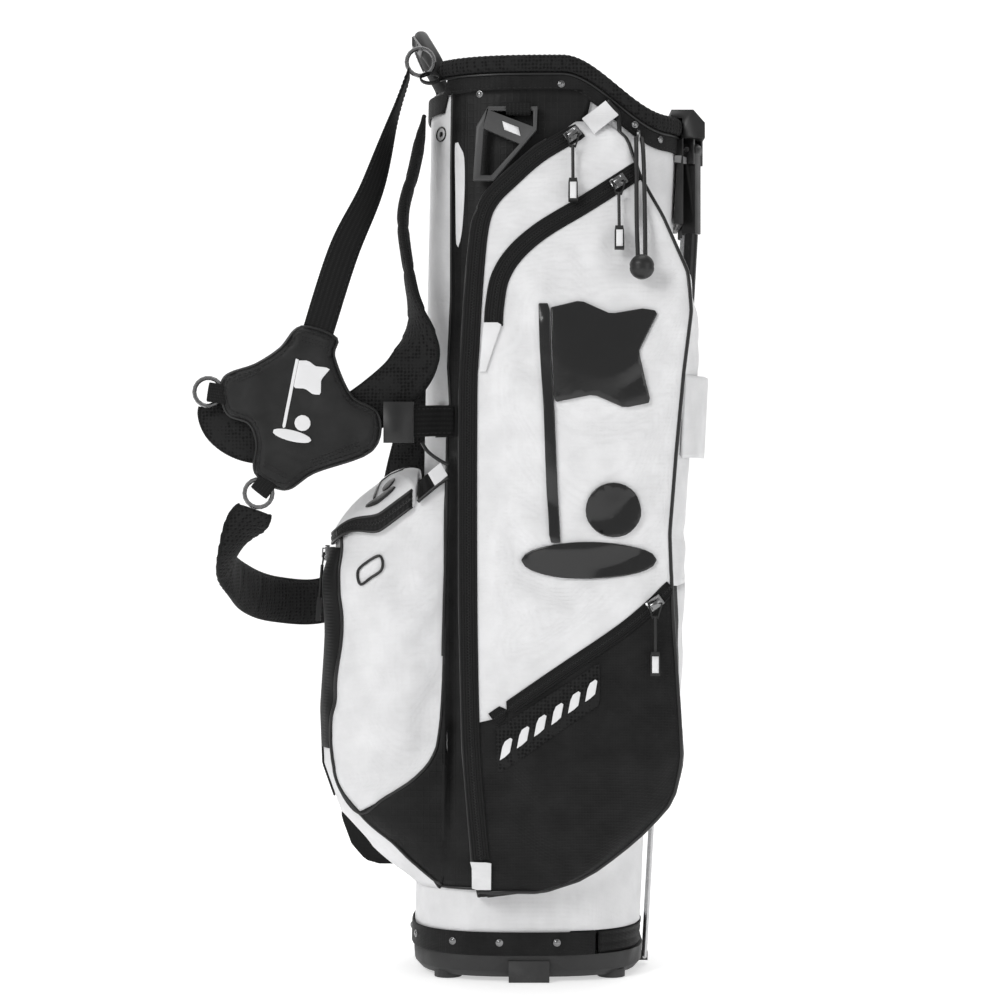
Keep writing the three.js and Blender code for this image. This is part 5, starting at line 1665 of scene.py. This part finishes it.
def inset(points, by):
    """A closed outline moved inwards, its points that cross over left out."""
    pts = [Vector((x, z)) for x, z in points]
    closed = points + points[:1]
    middle = sum(pts, Vector((0, 0))) / len(pts)
    out = []
    for i, p in enumerate(pts):
        way = (pts[(i + 1) % len(pts)] - pts[i - 1]).normalized()
        side = Vector((-way.y, way.x))
        if side.dot(middle - p) < 0:
            side = -side
        q = p + side * by
        if distance(q.x, q.y, closed) > by * 0.93:
            out.append((q.x, q.y))
    return out


def strap_loop(name, at, way, wide, reach):
    """A short fold of webbing from the hub round a ring."""
    at, way = Vector(at), Vector(way).normalized()
    side = way.cross(Vector((0, 1, 0))).normalized()
    y = Vector((0, 1, 0))
    line = []
    for k in range(17):
        a = math.pi * (k / 16 - 0.5)
        line.append(at + way * (reach + 3.1 * math.cos(a)) + y * 3.1 * math.sin(a))
    line = [at - y * 3.1 - way * 8, at - y * 3.1] + line + [at + y * 3.1, at + y * 3.1 - way * 8]
    sweep(name, line, slab(wide, 1.6, per=3), "bag", M["black_webbing"], across=[side] * len(line))


def make_straps():
    pad("shoulder_pad_a", PAD_A, 46, 11)
    pad("shoulder_pad_b", PAD_B, 46, 11)
    for name, stops in (("upper_webbing", UPPER_WEB), ("lower_webbing", LOWER_WEB)):
        line, across = stops_line(stops)
        web = sweep(name, line, slab(29, 2.2, per=4, power=5), "bag", M["black_webbing"], across=across)
        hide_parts(name)
        pts, ways, sides = frames_along(line, across)
        rows = []
        for s in (-11.5, 11.5):
            for off in (-1.2, 1.2):
                edge = [p + a * s + w.cross(a) * off for p, w, a in zip(pts, ways, sides)]
                rows.append(stitches("row", edge[3:-3], "bag", THREAD, long=3, gap=1.8))
        join(name + "_stitches", rows)
    strap_loop("hub_loop_a", (-277, -115, 546), (-1, 0, 0.15), 18, 17)
    strap_loop("hub_loop_b", (-239, -115, 470), (-0.62, 0, -0.78), 18, 15)
    loop = []
    for k in range(25):
        a = 2 * math.pi * k / 24
        loop.append(Vector((-93 + 9 * math.cos(a), -70, 846.6 + 4.6 * math.sin(a))))
    tab = sweep("ring_loop", loop[:-1], slab(16, 1.7, per=3), "bag", M["black_webbing"],
                across=[Vector((0, 1, 0))] * 24, closed=True)
    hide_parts("ring_loop")


# ------------------------------------------------------------------ base

def make_base():
    """The cloth band round the sleeve's foot, apart from its leg side, and its rivets."""
    lo, hi = 25.6, 46
    keep = [math.radians(a) for a in range(0, 360, 2)]
    keep = [t for t in keep if wall_at(t, 60).x < 63]
    grid = []
    for z in (lo, lo + 1.2, (lo + hi) / 2, hi - 1.2, hi):
        puff = 1.0 if lo < z < hi else 0.3
        grid.append([wall_at(t, z, puff) for t in keep])
    black = M["black_fabric"]
    base_band = patch("base_band", grid, "bag", black, thick=1.6, bevel=0.3, inner=black, out=(-1, 0, 0))
    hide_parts("base_band")
    rivets = []
    for deg in (232, 255, 285, 305, 128, 105, 75, 55, 155, 205, 180):
        t = math.radians(deg)
        if wall_at(t, 32).x > 60:
            continue
        rivets.append(rivet(wall_at(t, 37, 2.6), wall_out(t, 37), 3.6))
    join("base_rivets", rivets)
    make_gusset()


def make_gusset():
    """The folded cloth on the base's leg side, where the real base tilts. Here it is a fixed shape that rides
    on no body.
    """
    ts = [math.radians(a) for a in range(-70, 71, 2)]
    ts = [t for t in ts if wall_at(t, 36).x > 64.5]
    grid = []
    for i in range(15):
        t = i / 14
        z = mix(25.6, 46.4, t)
        fold = 1.4 * abs(math.sin(2.5 * math.pi * t)) + 0.35 * math.sin(9 * t)
        grid.append([wall_at(a, z, -2.0 + fold + 0.3 * noise.noise(Vector((a * 9, z / 5, 1)))) for a in ts])
    black = M["black_fabric"]
    cloth = patch("base_gusset", grid, None, black, thick=1.2, inner=black, out=(1, 0, 0))
    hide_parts("base_gusset")
    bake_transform(cloth)


# ------------------------------------------------------------------ sleeve trim, legs and fittings


PANEL_LEFT = [(-71, 832), (-72, 760), (-72, 640), (-75, 575), (-73, 540), (-76, 505), (-76, 440), (-79.5, 318),
              (-82, 86)]
PANEL_RIGHT = [(60, 832), (52, 796), (16, 772), (-12, 748), (-32, 722), (-40, 690), (-42, 600), (-40, 86)]


PANEL_INSERT = [(-68.6, 784), (-63.5, 779), (-60.4, 771), (-59.6, 750), (-60.4, 725), (-63, 696), (-67.4, 687),
                (-68.4, 735)]


def make_sleeve_mark(sleeve):
    """A small plain print near the sleeve's top: a ring with a dot in it."""
    face = Surface(sleeve)
    x0, z0 = -82.5, 795
    loop = [face.near(x, z, 0.2) for x, z in blob(x0, z0, 4.4, 6.6, 28)]
    sweep("sleeve_mark", [p for p in loop if p], disc(0.9, 6), "bag", EMBLEM, closed=True)
    dot = blob(x0, z0, 1.9, 2.9, 14)
    decal("sleeve_mark_dot", dot, face, "bag", EMBLEM, thick=0.5, longest=3, bevel=0.1)


def make_side_panels():
    """The textured panels beside the ball pocket, widening above the main zip, near and far."""
    for side, name in ((-1, "side_panel"), (1, "far_side_panel")):
        rows = []
        for i in range(111):
            z = mix(87, 831, i / 110)
            left, right = on_line(PANEL_LEFT, z), on_line(PANEL_RIGHT, z)
            row = []
            for k in range(19):
                u = k / 18
                x = mix(left, right, u)
                out = 0.9 + 1.5 * math.sin(math.pi * u) ** 0.6
                step = max(ball_y(x, z) + 1.0 - wall_y(x, z) - out, 0) * smooth((497 - z) / 14)
                out += step * (1 - smooth(u / 0.45))
                row.append(Vector((x, side * (wall_y(x, z) + out), z)))
            rows.append(row)
        panel = patch(name, rows, "bag", M["ripstop"], thick=0.8, out=(0, side, 0))
        if side < 0:
            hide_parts("side_panel")
        edge = [r[0] + Vector((-0.6, side * 0.4, 0)) for r in rows if side > 0 or r[0].z > 300]
        pipes = [sweep("pipe", line, disc(1.5), "bag", PIPING) for line in (edge, rows[0])]
        join(name + "_piping", pipes)
        if side < 0:
            insert = catmull(plan(PANEL_INSERT), 5, closed=True)
            decal("side_panel_insert", [(p.x, p.z) for p in insert], Surface(panel), "bag", M["white_fabric"],
                  thick=0.5, lift=0.3, longest=8, bevel=0.15)


def make_rivets():
    """Rivets along the cuff, on its near side."""
    made = []
    for x, drop in ((-45, 36), (30, 28), (98, 25), (122, 25)):
        z = rim_z(x) - drop
        turn = math.atan2(-wall_y(x, z), x - wall_middle(z))
        made.append(rivet(wall_at(turn, z, 2.6), wall_out(turn, z), 3.4))
    join("cuff_rivets", made)


def make_leg_strap():
    lean, height = (0.05, 0, 1), 526
    way = ((141, -137), (147, -125), (153.5, -111), (160, -98), (164.4, -80), (166.6, -69))
    stops = [((x, y, height), lean) for x, y in way]
    line, across = stops_line(stops, 6)
    strap = sweep("leg_strap", line, slab(76, 2.2, per=5, power=8), "bag", M["white_fabric"], across=across)
    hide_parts("leg_strap")
    edges = []
    for s in (-35, 35):
        edge = [p + Vector((-1.5, -0.6, s)) for p in line[1:-3]]
        edges.append(stitches("row", edge, "bag", LABEL, long=2.6, gap=1.4, radius=0.35))
    join("leg_strap_stitches", edges)


def make_handle_loop():
    at = Vector((0, -109, 811.7))
    line = []
    for k in range(21):
        a = math.radians(mix(-80, 262, k / 20))
        line.append(at + Vector((0, 5.5 * math.sin(a + math.pi / 2), 5.5 * math.cos(a + math.pi / 2))))
    loop = sweep("handle_loop", [p + Vector((-10, 0, 0)) for p in line], slab(23, 1.2, per=3), "bag",
                 M["black_webbing"], across=[Vector((1, 0, 0))] * len(line))
    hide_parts("handle_loop")


ELASTIC = {"x": 102, "ball": (102, -157.4, 661), "ball_round": 11.5}


def make_bungee():
    """Two strands of elastic cord from the eyelet, over the pocket and down to their ball."""
    ball_rings = []
    at = Vector(ELASTIC["ball"])
    for i in range(1, 20):
        a = math.pi * i / 20
        groove = 1 - 0.05 * math.exp(-(((a - math.pi / 2) / 0.12) ** 2))
        r = ELASTIC["ball_round"] * math.sin(a) * groove
        z = ELASTIC["ball_round"] * math.cos(a)
        ball_rings.append([at + Vector((r * math.cos(t), r * math.sin(t), z))
                           for t in (2 * math.pi * k / 28 for k in range(28))])
    ball = loft("bungee_ball", ball_rings, "bungee", M["black_plastic"])
    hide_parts("bungee_ball")
    for name, s in (("left", -1), ("right", 1)):
        stops = ((2.6, -105.4, 785), (3.1, -119.8, 773), (3.5, -129.5, 750), (3.8, -140, 705),
                 (3.4, -151.5, 671.5))
        path = [(ELASTIC["x"] + apart * s, y, z) for apart, y, z in stops]
        line = catmull(path, 6)
        data = bpy.data.curves.new("bungee_" + name, "CURVE")
        data.dimensions, data.bevel_depth, data.bevel_resolution = "3D", 2 * MM, 3
        data.use_fill_caps = True
        spline = data.splines.new("POLY")
        spline.points.add(len(line) - 1)
        for q, p in zip(spline.points, line):
            q.co = (*(p * MM), 1)
        cord = bpy.data.objects.new("bungee_cord_" + name, data)
        bpy.context.scene.collection.objects.link(cord)
        data.materials.append(M["black_cord"])
        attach(cord, "bungee")
        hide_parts("bungee_cord")
        Vector(path[0]) * MM


def make_pull_labels():
    """A plain white print on each zip pull's grip."""
    for name in ("main", "upper", "lower"):
        low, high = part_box(name + "_zip_pull")
        x = (low[0] + high[0]) / 2 / MM
        y, z = low[1] / MM, low[2] / MM
        rows = [[Vector((x + u, y - 0.2, z + v)) for u in (-3, -1, 1, 3)] for v in (3, 8, 13, 18)]
        patch(name + "_pull_print", rows, name + "_pull", EMBLEM_WHITE, thick=0.4)


def make_small_marks():
    """A plain plate on the utility handle and a grey label on the leg bracket."""
    low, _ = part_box("utility_handle")
    y = low[1] / MM
    rows = []
    steps = (0, 0.33, 0.67, 1)
    for v in steps:
        rows.append([Vector((mix(-25, -10, u) + v * 2, y - 0.2, 800 - 6 * u - 8 * v)) for u in steps])
    patch("handle_plate", rows, "grip", EMBLEM_WHITE, thick=0.5)
    bracket = Surface(frame["nodes"]["leg_bracket"])
    label = [(139, 777), (151, 777), (151, 770), (139, 770)]
    decal("bracket_label", label, bracket, "bag", LABEL, thick=0.5, lift=0.1)


# ------------------------------------------------------------------ floor


def make_floor():
    """A pale floor that curves up into the backdrop."""
    rows = []
    for y, z in ((-6000, 0), (2600, 0), (3200, 60), (3700, 300), (4000, 900), (4100, 2000), (4100, 7000)):
        rows.append([Vector((x, y, z - 0.5)) for x in (-7000, 7000)])
    verts = [p for r in rows for p in r]
    mesh = bpy.data.meshes.new("floor")
    mesh.from_pydata([v * MM for v in verts], [], grid_faces(len(rows), 2))
    floor = bpy.data.objects.new("floor", mesh)
    mesh.materials.append(FLOOR)
    mesh.polygons.foreach_set("use_smooth", [True] * len(mesh.polygons))
    bpy.context.scene.collection.objects.link(floor)


make_camera()
make_bungee()
make_light()
make_floor()
finish_nodes()
sleeve = make_sleeve()
make_rim()
make_lift_handle()
make_divider()
front_face = make_front()
make_emblem(front_face)
make_dashes(front_face)
make_far_side()
ball_face = make_ball_pocket()
make_ball_trim(ball_face)
make_lid()
make_bottle_sleeve()
make_hub()
make_straps()
make_base()
make_side_panels()
make_rivets()
make_leg_strap()
make_handle_loop()
make_pull_labels()
make_small_marks()
make_sleeve_mark(sleeve)
rounded(1.4, "leg_bracket", "base_cup")
rounded(0.9, "utility_handle", "leg_head_near", "leg_head_far", "strap_buckle")
rounded(0.5, "anchor_plate", "main_zip_slider", "upper_zip_slider", "lower_zip_slider", "ball_zip_slider")
